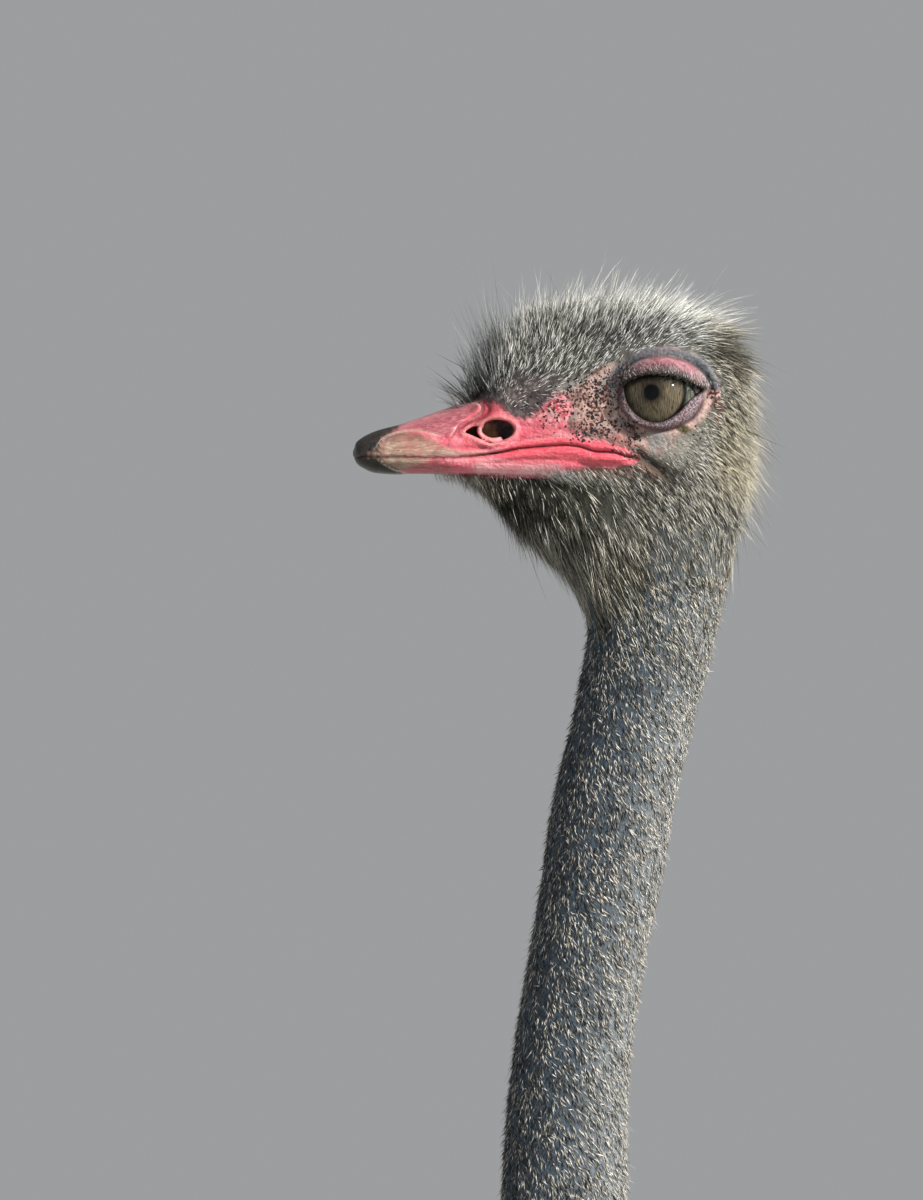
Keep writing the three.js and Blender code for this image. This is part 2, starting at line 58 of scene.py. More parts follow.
# ---------------------------------------------------------------- small tools
def curve(xs, ys):
    """Monotone cubic through the stations, for arrays."""
    xs, ys = np.asarray(xs, float), np.asarray(ys, float)
    h = np.diff(xs)
    d = np.diff(ys) / h
    m = np.zeros_like(ys)
    m[0], m[-1] = d[0], d[-1]
    for i in range(1, len(xs) - 1):
        if d[i - 1] * d[i] > 0:
            m[i] = (3 * (h[i - 1] + h[i])) / ((2 * h[i] + h[i - 1]) / d[i - 1] + (h[i] + 2 * h[i - 1]) / d[i])

    def f(x):
        x = np.clip(np.asarray(x, float), xs[0], xs[-1])
        i = np.clip(np.searchsorted(xs, x, side="right") - 1, 0, len(xs) - 2)
        t = (x - xs[i]) / h[i]
        return (
            ys[i] * (1 + 2 * t) * (1 - t) ** 2
            + h[i] * m[i] * t * (1 - t) ** 2
            + ys[i + 1] * t * t * (3 - 2 * t)
            + h[i] * m[i + 1] * t * t * (t - 1)
        )

    return f


def columns(rows):
    return [curve([r[0] for r in rows], [r[k] for r in rows]) for k in range(1, len(rows[0]))]


def sstep(a, b, x):
    t = np.clip((x - a) / (b - a), 0, 1)
    return t * t * (3 - 2 * t)


def gauss(d, w):
    return np.exp(-((d / w) ** 2))


def smin(a, b, k):
    h = np.clip(0.5 + 0.5 * (b - a) / k, 0, 1)
    return b + (a - b) * h - k * h * (1 - h)


def smax(a, b, k):
    return -smin(-a, -b, k)


def smooth_line(pts, n=5, closed=False):
    """Catmull-Rom through the points."""
    p = np.asarray(pts, float)
    m = len(p)
    out = []
    for i in range(m if closed else m - 1):
        p0 = p[(i - 1) % m] if closed or i > 0 else 2 * p[0] - p[1]
        p1, p2 = p[i], p[(i + 1) % m]
        p3 = p[(i + 2) % m] if closed or i < m - 2 else 2 * p[-1] - p[-2]
        for t in np.arange(n) / n:
            out.append(0.5 * (2 * p1 + (p2 - p0) * t + (2 * p0 - 5 * p1 + 4 * p2 - p3) * t**2 + (3 * p1 - p0 - 3 * p2 + p3) * t**3))
    if not closed:
        out.append(p[-1])
    return np.array(out)


def line_dist(a, h, pts, closed=False):
    """Distance in the side view from a smooth line; with closed, negative inside."""
    p = smooth_line(pts, 5, closed)
    q = np.roll(p, -1, 0) if closed else p[1:]
    p = p if closed else p[:-1]
    best = np.full(np.broadcast(a, h).shape, 1e9, F)
    inside = np.zeros(best.shape, bool)
    for (ax, ay), (bx, by) in zip(p, q):
        dx, dy = bx - ax, by - ay
        t = np.clip(((a - ax) * dx + (h - ay) * dy) / (dx * dx + dy * dy + 1e-9), 0, 1)
        best = np.minimum(best, (a - ax - t * dx) ** 2 + (h - ay - t * dy) ** 2)
        if closed and abs(dy) > 1e-9:
            cross = ((ay > h) != (by > h)) & (a < (bx - ax) * (h - ay) / (by - ay) + ax)
            inside ^= cross
    best = np.sqrt(best).astype(F)
    return np.where(inside, -best, best) if closed else best


def make_mesh(name, v, faces, attrs=None, uv=None, smooth=True, size=None):
    """An object from arrays in millimetres. faces: one array, or a list of arrays of 3 or 4 columns."""
    me = bpy.data.meshes.new(name)
    v = np.asarray(v, float) * MM
    faces = faces if isinstance(faces, list) else [faces]
    faces = [f for f in faces if len(f)]
    loops = np.concatenate([f.ravel() for f in faces]).astype(np.int32)
    counts = np.concatenate([np.full(len(f), f.shape[1], np.int32) for f in faces])
    starts = np.concatenate([[0], np.cumsum(counts)[:-1]]).astype(np.int32)
    me.vertices.add(len(v))
    me.vertices.foreach_set("co", v.astype(F).ravel())
    me.loops.add(len(loops))
    me.loops.foreach_set("vertex_index", loops)
    me.polygons.add(len(counts))
    me.polygons.foreach_set("loop_start", starts)
    me.polygons.foreach_set("loop_total", counts)
    if smooth:
        me.polygons.foreach_set("use_smooth", np.ones(len(counts), bool))
    me.update(calc_edges=True)
    if uv is not None:
        layer = me.uv_layers.new(name="OFBake")
        layer.data.foreach_set("uv", np.asarray(uv, F)[loops].ravel())
    for key, val in (attrs or {}).items():
        at = me.attributes.new(key, "FLOAT", "POINT")
        at.data.foreach_set("value", np.asarray(val, F))
    ob = bpy.data.objects.new(name, me)
    bpy.context.collection.objects.link(ob)
    return ob


def set_attrs(ob, attrs):
    for key, val in attrs.items():
        at = ob.data.attributes.get(key) or ob.data.attributes.new(key, "FLOAT", "POINT")
        at.data.foreach_set("value", np.asarray(val, F))


def coords(ob):
    c = np.empty(len(ob.data.vertices) * 3, F)
    ob.data.vertices.foreach_get("co", c)
    return c.reshape(-1, 3) / MM


def polygonise(f, origin, step):
    g = vdb.FloatGrid(1000.0)
    g.copyFromArray(np.ascontiguousarray(f, F), tolerance=0.0)
    v, q = g.convertToQuads(isovalue=0.0)
    return v * step + np.array(origin), q.astype(np.int64)


def decimate(ob, ratio, group=None, factor=1.0):
    m = ob.modifiers.new("d", "DECIMATE")
    m.ratio = ratio
    m.use_collapse_triangulate = True
    if group:
        m.vertex_group, m.vertex_group_factor = group, factor
    with bpy.context.temp_override(object=ob, active_object=ob, selected_objects=[ob]):
        bpy.ops.object.modifier_apply(modifier=m.name)


# ---------------------------------------------------------------- camera, light, floor
FRAME_H = 0.5688  # height of what the camera sees, at the bird's middle
CAM_DIST = 4.6
cam = bpy.data.cameras.new("camera")
cam.sensor_width = 36
cam.lens = 36 * CAM_DIST / FRAME_H
cam.clip_end = 200
cam_ob = bpy.data.objects.new("camera", cam)
bpy.context.collection.objects.link(cam_ob)
target = Vector((0, (EYE_Y - 92.2) * MM, (EYE_Z - 95.7) * MM))
cam_ob.location = target + Vector((CAM_DIST, 0, 0))
cam_ob.rotation_euler = (math.pi / 2, 0, math.pi / 2)
bpy.context.scene.camera = cam_ob
bpy.context.scene.view_settings.view_transform = "Standard"


def area(name, pos, aim, size, watts, colour=(1, 1, 1)):
    d = bpy.data.lights.new(name, "AREA")
    d.shape, d.size, d.energy, d.color = "DISK", size, watts, colour
    o = bpy.data.objects.new(name, d)
    bpy.context.collection.objects.link(o)
    o.location = pos
    o.rotation_euler = (Vector(aim) - Vector(pos)).to_track_quat("-Z", "Y").to_euler()


head_c = Vector((0, EYE_Y * MM, EYE_Z * MM))
def sun(name, towards, power, degrees, colour=(1, 1, 1)):
    """A distant lamp. towards points from the bird to the lamp."""
    d = bpy.data.lights.new(name, "SUN")
    d.energy, d.angle, d.color = power, math.radians(degrees), colour
    o = bpy.data.objects.new(name, d)
    bpy.context.scene.collection.objects.link(o)
    o.location = Vector(towards) * 5
    o.rotation_euler = (-Vector(towards)).to_track_quat("-Z", "Y").to_euler()


sun("key", (0.58, 0.66, 0.50), 5.5, 4, (1.0, 0.965, 0.915))
sun("rim", (-0.30, 0.90, 0.36), 3.3, 20, (1.0, 0.98, 0.95))
area("fill", (2.6, -4.2, 2.6), (0, 0, 1.3), 3.4, 12, (0.92, 0.96, 1.0))
# a pale cyclorama round the horizon under a darker ceiling
world = bpy.data.worlds.new("studio")
world.use_nodes = True
bpy.context.scene.world = world
wt = world.node_tree
tc, sep = wt.nodes.new("ShaderNodeTexCoord"), wt.nodes.new("ShaderNodeSeparateXYZ")
mr, mx = wt.nodes.new("ShaderNodeMapRange"), wt.nodes.new("ShaderNodeMix")
wt.links.new(tc.outputs["Generated"], sep.inputs[0])
wt.links.new(sep.outputs["Z"], mr.inputs[0])
mr.interpolation_type = "SMOOTHSTEP"
mr.inputs[1].default_value, mr.inputs[2].default_value = 0.10, 0.55
mx.data_type = "RGBA"
wt.links.new(mr.outputs[0], mx.inputs[0])
mx.inputs[6].default_value, mx.inputs[7].default_value = (0.335, 0.34, 0.345, 1), (0.15, 0.16, 0.175, 1)
wt.links.new(mx.outputs[2], wt.nodes["Background"].inputs[0])
wt.nodes["Background"].inputs[1].default_value = 1.0


# ---------------------------------------------------------------- node helpers
class Mat:
    def __init__(self, name):
        self.m = bpy.data.materials.new(name)
        self.m.use_nodes = True
        self.t = self.m.node_tree
        self.b = self.t.nodes["Principled BSDF"]

    def node(self, kind, **kw):
        n = self.t.nodes.new(kind)
        for k, v in kw.items():
            setattr(n, k, v)
        return n

    def put(self, sock, val):
        if isinstance(val, bpy.types.NodeSocket):
            self.t.links.new(val, sock)
        else:
            sock.default_value = val

    def obj(self):
        return self.node("ShaderNodeTexCoord").outputs["Object"]

    def attr(self, name):
        return self.node("ShaderNodeAttribute", attribute_name=name).outputs["Fac"]

    def noise(self, scale, detail=3, rough=0.55, vec=None, distortion=0.0):
        n = self.node("ShaderNodeTexNoise")
        self.put(n.inputs["Vector"], vec if vec is not None else self.obj())
        n.inputs["Scale"].default_value = scale
        n.inputs["Detail"].default_value = detail
        n.inputs["Roughness"].default_value = rough
        n.inputs["Distortion"].default_value = distortion
        return n.outputs["Fac"]

    def voronoi(self, scale, feature="F1", out="Distance", vec=None, rand=1.0):
        n = self.node("ShaderNodeTexVoronoi", feature=feature)
        self.put(n.inputs["Vector"], vec if vec is not None else self.obj())
        n.inputs["Scale"].default_value = scale
        if "Randomness" in n.inputs:
            n.inputs["Randomness"].default_value = rand
        return n.outputs[out]

    def mapping(self, scale=(1, 1, 1), rot=(0, 0, 0), vec=None):
        n = self.node("ShaderNodeMapping")
        self.put(n.inputs["Vector"], vec if vec is not None else self.obj())
        n.inputs["Scale"].default_value = scale
        n.inputs["Rotation"].default_value = rot
        return n.outputs[0]

    def math(self, op, a, b=0.0, c=0.0, clamp=False):
        n = self.node("ShaderNodeMath", operation=op, use_clamp=clamp)
        for s, v in zip(n.inputs, (a, b, c)):
            self.put(s, v)
        return n.outputs[0]

    def ramp(self, fac, lo_, hi_, out0=0.0, out1=1.0):
        n = self.node("ShaderNodeMapRange", interpolation_type="SMOOTHSTEP")
        self.put(n.inputs[0], fac)
        for s, v in zip(list(n.inputs)[1:5], (lo_, hi_, out0, out1)):
            self.put(s, v)
        return n.outputs[0]

    def mix(self, fac, a, b, kind="MIX"):
        n = self.node("ShaderNodeMix", data_type="RGBA", blend_type=kind)
        self.put(n.inputs[0], fac)
        for s, v in ((n.inputs[6], a), (n.inputs[7], b)):
            self.put(s, v if isinstance(v, bpy.types.NodeSocket) else (*v, 1) if len(v) == 3 else v)
        return n.outputs[2]

    def bump(self, height, dist, strength=1.0, normal=None):
        n = self.node("ShaderNodeBump")
        n.inputs["Strength"].default_value = strength
        n.inputs["Distance"].default_value = dist
        self.put(n.inputs["Height"], height)
        if normal is not None:
            self.put(n.inputs["Normal"], normal)
        return n.outputs[0]

    def set(self, **kw):
        for k, v in kw.items():
            self.put(self.b.inputs[k.replace("_", " ")], v)
        return self


def srgb(r, g, b):
    return tuple(((c / 255) / 12.92 if c / 255 <= 0.04045 else ((c / 255 + 0.055) / 1.055) ** 2.4) for c in (r, g, b))


def dress(ob, mat, slot, *nodes):
    ob.data.materials.clear()
    ob.data.materials.append(mat.m if isinstance(mat, Mat) else mat)
    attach(ob, "root")
    if nodes:
        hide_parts(*nodes)


# ---------------------------------------------------------------- head: sections from the bill's tip to the nape
# distance behind the bill's tip; top, widest level and underside above the eye's centre; half width
HEAD = [
    [0.4, -24.0, -26.5, -28.5, 2.5],
    [1.6, -21.6, -27.4, -30.5, 6.5],
    [4.3, -19.2, -27.9, -32.6, 9.8],
    [10.9, -16.0, -28.1, -35.2, 13.6],
    [22.3, -12.9, -28.1, -35.9, 16.8],
    [36.5, -8.1, -28.1, -35.9, 19.2],
    [49.0, -3.6, -27.8, -36.1, 21.1],
    [56.0, -0.7, -27.4, -36.4, 21.9],
    [61.0, 5.0, -27.3, -36.7, 22.4],
    [66.0, 14.0, -26.9, -37.0, 22.9],
    [72.0, 25.5, -26.2, -37.4, 23.7],
    [79.0, 33.3, -25.2, -38.0, 24.6],
    [87.0, 36.4, -23.5, -38.6, 25.8],
    [98.5, 38.6, -21.5, -40.5, 28.0],
    [117.0, 40.4, -19.0, -46.0, 31.5],
    [136.0, 41.0, -15.0, -51.0, 34.0],
    [151.0, 39.8, -12.0, -53.0, 34.6],
    [163.0, 35.6, -9.5, -52.5, 33.2],
    [172.0, 28.0, -8.0, -50.0, 29.8],
    [178.5, 18.0, -8.5, -44.0, 24.0],
    [182.5, 7.0, -10.5, -34.0, 16.0],
    [184.2, -4.0, -13.0, -24.0, 8.0],
]
head_top, head_wide, head_bot, head_half = columns(HEAD)
THROAT = [
    [48, -37.2, 6],
    [57.8, -40.3, 10.5],
    [69.7, -50.7, 14.5],
    [83.9, -64.0, 17.5],
    [98, -77.7, 20.5],
    [106.6, -91, 23],
    [116, -106, 27],
    [134, -116, 29.5],
]
throat_bot, throat_half = columns(THROAT)
# height above the eye's centre; distance of the neck's middle behind the bill's tip; half depth; half width (skin)
NECK_TOP = [
    [-152, 132.7, 28.3, 28.0],
    [-114, 141.0, 29.8, 28.4],
    [-94, 143.4, 31.4, 27.8],
    [-76, 145.5, 33.8, 28.0],
    [-52, 149.5, 34.0, 28.5],
    [-30, 151.5, 31.5, 27.5],
    [-12, 151.0, 26.0, 24.0],
]
neck_mid, neck_deep, neck_wide = columns(NECK_TOP)

L = dict(
    culmen_low=[(44.9, -23.2), (46.9, -19.0), (48.5, -16.0), (50.2, -13.5), (55.0, -10.4), (58.6, -8.4), (60.7, -5.7), (60.7, -3.8)],
    nostril=[(53.0, -16.4), (56.4, -14.0), (61.1, -13.1), (63.7, -11.3), (68.4, -10.5), (73.1, -11.5), (75.7, -13.5), (76.4, -15.6), (74.9, -18.2), (72.0, -19.9), (68.4, -21.0), (64.5, -21.6), (61.5, -20.3), (57.5, -18.5), (54.3, -17.1)],
    flap=[(61.1, -12.8), (59.9, -15.0), (60.3, -17.2), (62.6, -19.2), (65.9, -20.2), (69.7, -19.7)],
    mouth=[(-4.0, -28.0), (6.2, -28.0), (24.6, -28.2), (41.2, -28.4), (50.2, -28.3), (59.2, -27.6), (70.2, -26.0), (77.5, -24.5), (88.4, -23.4), (98.1, -22.8), (101.9, -22.8), (108.1, -23.7), (114.5, -25.7), (123.0, -26.1), (128.0, -27.6), (131.3, -28.7), (135.3, -29.4)],
    uplip=[(69.7, -21.3), (75.4, -20.7), (83.9, -19.9), (93.4, -19.0), (101.9, -19.2), (110.3, -21.2), (116.6, -22.1), (123.0, -22.5), (128.5, -24.2), (131.5, -25.9), (134.5, -28.4)],
    lowlip=[(59.2, -32.2), (65.9, -31.0), (74.4, -30.1), (83.9, -29.6), (93.4, -29.7), (101.9, -30.3), (110.3, -31.8), (118.8, -32.0), (125.1, -31.8), (129.4, -30.6), (133.5, -29.6)],
    jaw=[(2.4, -31.0), (6.2, -34.1), (12.3, -35.4), (24.6, -35.6), (41.2, -35.4), (51.2, -35.6), (65.9, -36.2), (74.4, -36.8), (86.3, -37.8), (96.7, -38.6)],
    furrow=[(134.0, -26.0), (137.0, -28.3), (140.8, -31.2), (145.1, -34.2), (149.4, -38.0)],
    crease=[(126.5, 8.5), (127.8, 11.6), (130.6, 15.2), (135.1, 17.7), (145.5, 19.1), (153.8, 17.7), (159.5, 15.6), (164.5, 12.3), (167.6, 8.1), (169.2, 3.8)],
    rim=[(131.3, 19.4), (138.4, 21.8), (148.8, 22.6), (157.8, 20.6), (165.4, 16.3), (170.6, 9.3), (172.2, 3.0), (171.5, -2.5)],
    lowlid=[(126.0, 3.0), (124.9, -3.5), (126.3, -8.6), (130.5, -12.9), (135.4, -15.2), (142.4, -16.5), (149.7, -15.8), (155.8, -13.0), (161.2, -9.2), (165.2, -3.5), (168.5, 3.0)],
    opening=[(127.9, 4.6), (128.3, 0.0), (129.9, -4.0), (133.2, -8.2), (137.5, -11.0), (141.6, -12.1), (146.0, -11.6), (150.7, -9.4), (154.8, -6.0), (158.2, -2.0), (161.8, 0.8), (165.2, 3.0), (161.4, 5.0), (156.9, 7.4), (151.2, 9.4), (145.5, 10.2), (139.8, 10.2), (134.6, 9.0), (130.3, 7.0)],
)
# the rolls of the lids and lips run midway between their edges
L["lower_roll"] = [(126.6, 0.5), (127.3, -4.6), (130.6, -9.6), (135.3, -13.0), (142.0, -14.3), (148.6, -13.4), (154.2, -10.4), (159.4, -5.8), (163.6, -1.2)]
L["upper_band"] = [(129.3, 9.6), (134.3, 13.2), (141.5, 14.9), (148.5, 14.7), (155.0, 12.8), (160.8, 9.6), (165.6, 5.6)]


def section_field(a, x, h, top, wide, bot, half, n_top, n_bot):
    v = h - wide
    r = np.where(v >= 0, top - wide, wide - bot)
    n = np.where(v >= 0, n_top, n_bot)
    u, w = np.abs(x) / half, np.abs(v) / r
    rho = (u**n + w**n) ** (1 / n) + 1e-6
    rad = np.sqrt(x * x + v * v)
    return rad * (1 - 1 / rho)


def head_base(a, x, h):
    """The head, throat and top of the neck, without its details. Arrays that broadcast."""
    f = lambda c: c(a).astype(F)
    n_top = (1.75 + 0.4 * sstep(55, 75, a)).astype(F)
    n_bot = (2.3 + 1.6 * sstep(36, 52, a) * sstep(112, 96, a)).astype(F)  # the sides of the mandible stand upright
    d = section_field(a, x, h, f(head_top), f(head_wide), f(head_bot), f(head_half), n_top, n_bot)
    slope = np.sqrt(1 + np.clip(np.gradient(head_top(a.ravel()), a.ravel()), -2.2, 2.2).reshape(a.shape) ** 2).astype(F)
    d = d / np.where(h > head_wide(a), slope, 1)
    d = smax(d, 0.4 - a, 2.0)
    d = smax(d, a - 185.2, 6.0)
    tb, th = f(throat_bot), f(throat_half)
    top = F(-22.0)
    t = section_field(a, x, h, top, (top + tb) / 2, tb, th, 2.2, 2.2)
    t = t / 1.35
    t = smax(t, 50 - a, 3.0)
    t = smax(t, a - 134, 6.0)
    d = smin(d, t, (1.5 + 6.5 * sstep(85, 130, a)).astype(F))
    nm, nd, nw = (c(h).astype(F) for c in (neck_mid, neck_deep, neck_wide))
    n = (np.sqrt((x / nw) ** 2 + ((a - nm) / nd) ** 2) - 1) * np.minimum(nd, nw)
    n = smax(n, h + 14, 8.0)
    return smin(d, n, 10.0)


def side_relief(a, h):
    """Folds, lips and lids as raised and sunken lines seen from the side, in millimetres."""
    D = np.zeros(np.broadcast(a, h).shape, F)
    back = sstep(40, 60, a)
    D -= (0.75 + 0.9 * back) * gauss(line_dist(a, h, L["mouth"]), 0.75)
    lip = line_dist(a, h, L["mouth"])
    above = h > np.interp(a.ravel(), *np.array(L["mouth"]).T).reshape(a.shape)
    roll = sstep(62, 84, a) * (1 - sstep(128, 136, a))
    D += np.where(above, 0.95 * gauss(lip - 2.0, 1.5), 1.25 * gauss(lip - 3.2, 2.3)) * roll
    D -= 0.55 * gauss(line_dist(a, h, L["uplip"]), 0.8) * sstep(68, 80, a)
    D -= 0.75 * gauss(line_dist(a, h, L["lowlip"]), 0.9) * sstep(60, 75, a)
    D -= 1.9 * gauss(line_dist(a, h, L["furrow"]), 1.7)
    D += 0.8 * gauss(line_dist(a, h, [(133.5, -32.6), (139.0, -35.2), (146, -39.5)]), 2.0)
    D += 0.45 * gauss(line_dist(a, h, L["jaw"]), 1.3) * (1 - sstep(86, 97, a)) * sstep(6, 20, a)
    D -= 0.28 * gauss(line_dist(a, h, L["culmen_low"]), 0.9)
    D += 0.75 * gauss(line_dist(a, h, L["nostril"], True) - 1.4, 1.1)
    D += 0.35 * gauss(line_dist(a, h, [(20, -26.2), (40, -26.5), (60, -25.8), (76, -23.6)]), 1.0)
    D -= 0.40 * gauss(line_dist(a, h, [(44, -23.6), (54, -23.8), (64, -24.0), (78, -21.6)]), 0.9)
    D -= 0.50 * gauss(line_dist(a, h, [(62.5, -1.5), (64.3, -6.0), (60.6, -10.4), (54, -13.2), (50.8, -17.0)]), 1.0)
    D -= 0.35 * gauss(line_dist(a, h, [(80, -14.5), (90, -13.5), (100, -15.5)]), 2.4)
    D -= 1.25 * gauss(line_dist(a, h, L["crease"]), 0.75)
    D += 1.15 * gauss(line_dist(a, h, L["rim"]), 1.7)
    D += 1.0 * gauss(line_dist(a, h, L["upper_band"]), 3.4)
    D += 1.45 * gauss(line_dist(a, h, L["lower_roll"]), 1.65)
    D -= 1.15 * gauss(line_dist(a, h, L["lowlid"]), 0.8)
    # a soft groove from the nostril forward, and a hollow in front of the eye
    D -= 0.5 * gauss(line_dist(a, h, [(24, -20.0), (38, -20.5), (52, -17.5)]), 3.0)
    D -= 1.4 * gauss(line_dist(a, h, [(104, -2.0), (116, -3.0), (120, -8.0)]), 7.0)
    return D


def head_field(a, x, h):
    d = head_base(a, x, h)
    r = np.sqrt((a - EYE_BACK) ** 2 + (x - EYE_X) ** 2 + h**2)
    d = smin(d, r - (EYE_R + 2.1), 5.0)
    d = d - side_relief(a, h) * sstep(3, 9, x).astype(F)
    # nostril: a pocket with a curled inner ridge
    side = np.interp(a, [50, 80], [19.2, 22.5])
    pocket = np.maximum(line_dist(a, h, L["nostril"], True), (side - 9.5) - x)
    d = smax(d, -pocket, 0.5)
    flap = line_dist(a, h, L["flap"])
    ridge = smax(flap - 0.95 - 0.5 * sstep(side - 2, side - 8, x), x - (side - 1.9), 0.6)
    d = smin(d, np.maximum(ridge, (side - 14) - x), 0.4)
    # eye opening and socket
    opening = np.maximum(line_dist(a, h, L["opening"], True), 31.4 - x)
    d = smax(d, -opening, 0.45)
    return np.maximum(d, (EYE_R + 0.03) - r)


STEP = 0.65
ga = np.arange(-3.0, 190.0, STEP, dtype=F)
gx = np.arange(0, 52.0, STEP, dtype=F)
gh = np.arange(-128.0, 46.0, STEP, dtype=F)
A3, X3, H3 = ga[:, None, None], gx[None, :, None], gh[None, None, :]
field = head_field(A3, X3, H3)
field = np.concatenate([field[:, :0:-1, :], field], axis=1)
hv, hq = polygonise(field, (ga[0], -gx[-1], gh[0]), STEP)
del field


def to_world(p):
    """(behind the tip, left, above the eye) to the frame, millimetres."""
    return np.stack([p[:, 1], p[:, 0] + TIP_Y, p[:, 2] + EYE_Z], 1)


def from_world(p):
    return p[:, 1] - TIP_Y, p[:, 0], p[:, 2] - EYE_Z


skin = make_mesh("skin", to_world(hv), hq[:, ::-1])
print("head quads", len(hq))


# ---------------------------------------------------------------- the rest of the bird, from its stations
NECK = [
    [1215, -262, 120], [1265, -330, 106], [1320, -392, 88], [1380, -437, 70], [1450, -466, 56], [1540, -483, 46],
    [1660, -491, 39], [1800, -492.5, 34], [1950, -490.2, 31], [1988, -488.9, 30], [2026, -485.5, 28.9],
    [2064, -479.5, 28.9], [2102, -472.4, 29.7], [2140, -466.4, 30.1], [2178, -457.3, 30.1], [2216, -449.0, 31.8],
]
neck_y, neck_r = columns(NECK)
TRUNK = [
    [-478, 1262, 1180, 46], [-466, 1303, 1130, 84], [-430, 1352, 1062, 130], [-370, 1390, 1000, 172],
    [-280, 1412, 946, 208], [-150, 1428, 900, 240], [0, 1444, 872, 260], [150, 1448, 884, 264],
    [290, 1424, 934, 242], [400, 1368, 1006, 196], [470, 1304, 1076, 140], [512, 1248, 1140, 82], [526, 1216, 1172, 44],
]
trunk_top, trunk_bot, trunk_half = columns(TRUNK)
LEG = [
    [118, -28, 1040, 58, 116], [124, 0, 950, 62, 106], [128, 40, 865, 57, 88], [126, 78, 780, 46, 64],
    [121, 106, 700, 36, 46], [115, 130, 625, 28, 34], [110, 146, 568, 27, 31], [108, 152, 528, 30, 35],
    [106, 149, 492, 27, 32], [104, 140, 450, 19.5, 25], [102, 122, 380, 16.8, 22], [100, 98, 280, 16.4, 21],
    [98, 78, 190, 17.6, 21.5], [97, 66, 126, 21.5, 24], [96, 58, 82, 25, 29], [96, 54, 50, 24, 28],
]
FOOT_Y, STAGGER = 105.0, 38.0
TOE_INNER = [[-40, 8, 22], [-34, 17, 36], [-18, 25, 58], [6, 29, 72], [30, 29, 66], [58, 26.5, 52], [84, 24.5, 42],
             [108, 27, 42], [132, 26, 38], [152, 21, 31], [166, 13, 22], [171, 6, 16]]
TOE_OUTER = [[-18, 10, 30], [-8, 17, 40], [14, 21, 46], [40, 20, 37], [62, 19, 32], [84, 19, 30], [102, 14.5, 23],
             [113, 8, 16], [117, 4, 12]]
CLAW = [[138, 12, 27, 11], [152, 13, 29, 7], [170, 11.5, 25, 3.4], [188, 8.5, 18.5, 1.6], [202, 5, 12, 1.2], [211, 2, 6.5, 1.4]]
BODY = SH  # the stations above are given before the shift along Y
_leg = [curve([-r[2] for r in LEG], [r[k] for r in LEG]) for k in (0, 1, 3, 4)]


def leg_at(side, z):
    """Middle x and y, half width and half depth of the leg at a height."""
    shift = -STAGGER if side > 0 else STAGGER
    x, y, rx, ry = (f(-np.asarray(z, float)) for f in _leg)
    k = np.clip((1040 - np.asarray(z, float)) / 900, 0, 1)
    return x * side, y + (FOOT_Y - 68) + shift * k + BODY, rx, ry


# ---------------------------------------------------------------- joined skin
def loop_of(faces, nv):
    """Vertices on the open edges."""
    e = np.concatenate([np.stack([faces[:, i], faces[:, (i + 1) % faces.shape[1]]], 1) for i in range(faces.shape[1])])
    key = np.sort(e, 1)
    _, idx, cnt = np.unique(key[:, 0] * nv + key[:, 1], return_index=True, return_counts=True)
    return e[idx[cnt == 1]]


def zip_loops(va, la, vb, lb, centre, u, w):
    """Triangles between two rings of vertex numbers, ordered by angle about the centre in the plane of u and w."""
    ang = lambda v, l: np.arctan2((v[l] - centre) @ w, (v[l] - centre) @ u)
    A, B = ang(va, la), ang(vb, lb)
    la, lb = la[np.argsort(A)], lb[np.argsort(B)]
    A, B = np.sort(A), np.sort(B)
    A, B = np.append(A, A[0] + 2 * np.pi), np.append(B, B[0] + 2 * np.pi)
    i = j = 0
    out = []
    while i < len(la) or j < len(lb):
        if j >= len(lb) or (i < len(la) and A[i + 1] <= B[j + 1]):
            out.append((la[i % len(la)], la[(i + 1) % len(la)], lb[j % len(lb)]))
            i += 1
        else:
            out.append((la[i % len(la)], lb[(j + 1) % len(lb)], lb[j % len(lb)]))
            j += 1
    out = np.array(out)
    p = va[out]
    n = np.cross(p[:, 1] - p[:, 0], p[:, 2] - p[:, 0])
    r = p.mean(1) - centre
    r -= np.outer(r @ np.cross(u, w), np.cross(u, w))
    flip = (n * r).sum(1) < 0
    out[flip] = out[flip][:, [0, 2, 1]]
    return out


def tris(faces):
    return faces if faces.shape[1] == 3 else np.concatenate([faces[:, [0, 1, 2]], faces[:, [0, 2, 3]]])


def keep_faces(v, f, test):
    """Only faces whose vertices all pass, with the loose vertices dropped."""
    f = f[test[f].all(1)]
    used = np.unique(f)
    new = np.full(len(v), -1)
    new[used] = np.arange(len(used))
    return v[used], new[f]


def biggest_part(v, f):
    """Drops loose crumbs of a voxel mesh."""
    lab = np.arange(len(v))
    e = np.concatenate([np.stack([f[:, i], f[:, (i + 1) % f.shape[1]]], 1) for i in range(f.shape[1])])
    for _ in range(400):
        m = np.minimum(lab[e[:, 0]], lab[e[:, 1]])
        old = lab.copy()
        np.minimum.at(lab, e[:, 0], m)
        np.minimum.at(lab, e[:, 1], m)
        lab = lab[lab]
        lab = lab[lab]
        if (lab == old).all():
            break
    ids, cnt = np.unique(lab, return_counts=True)
    return keep_faces(v, f, lab == ids[cnt.argmax()])


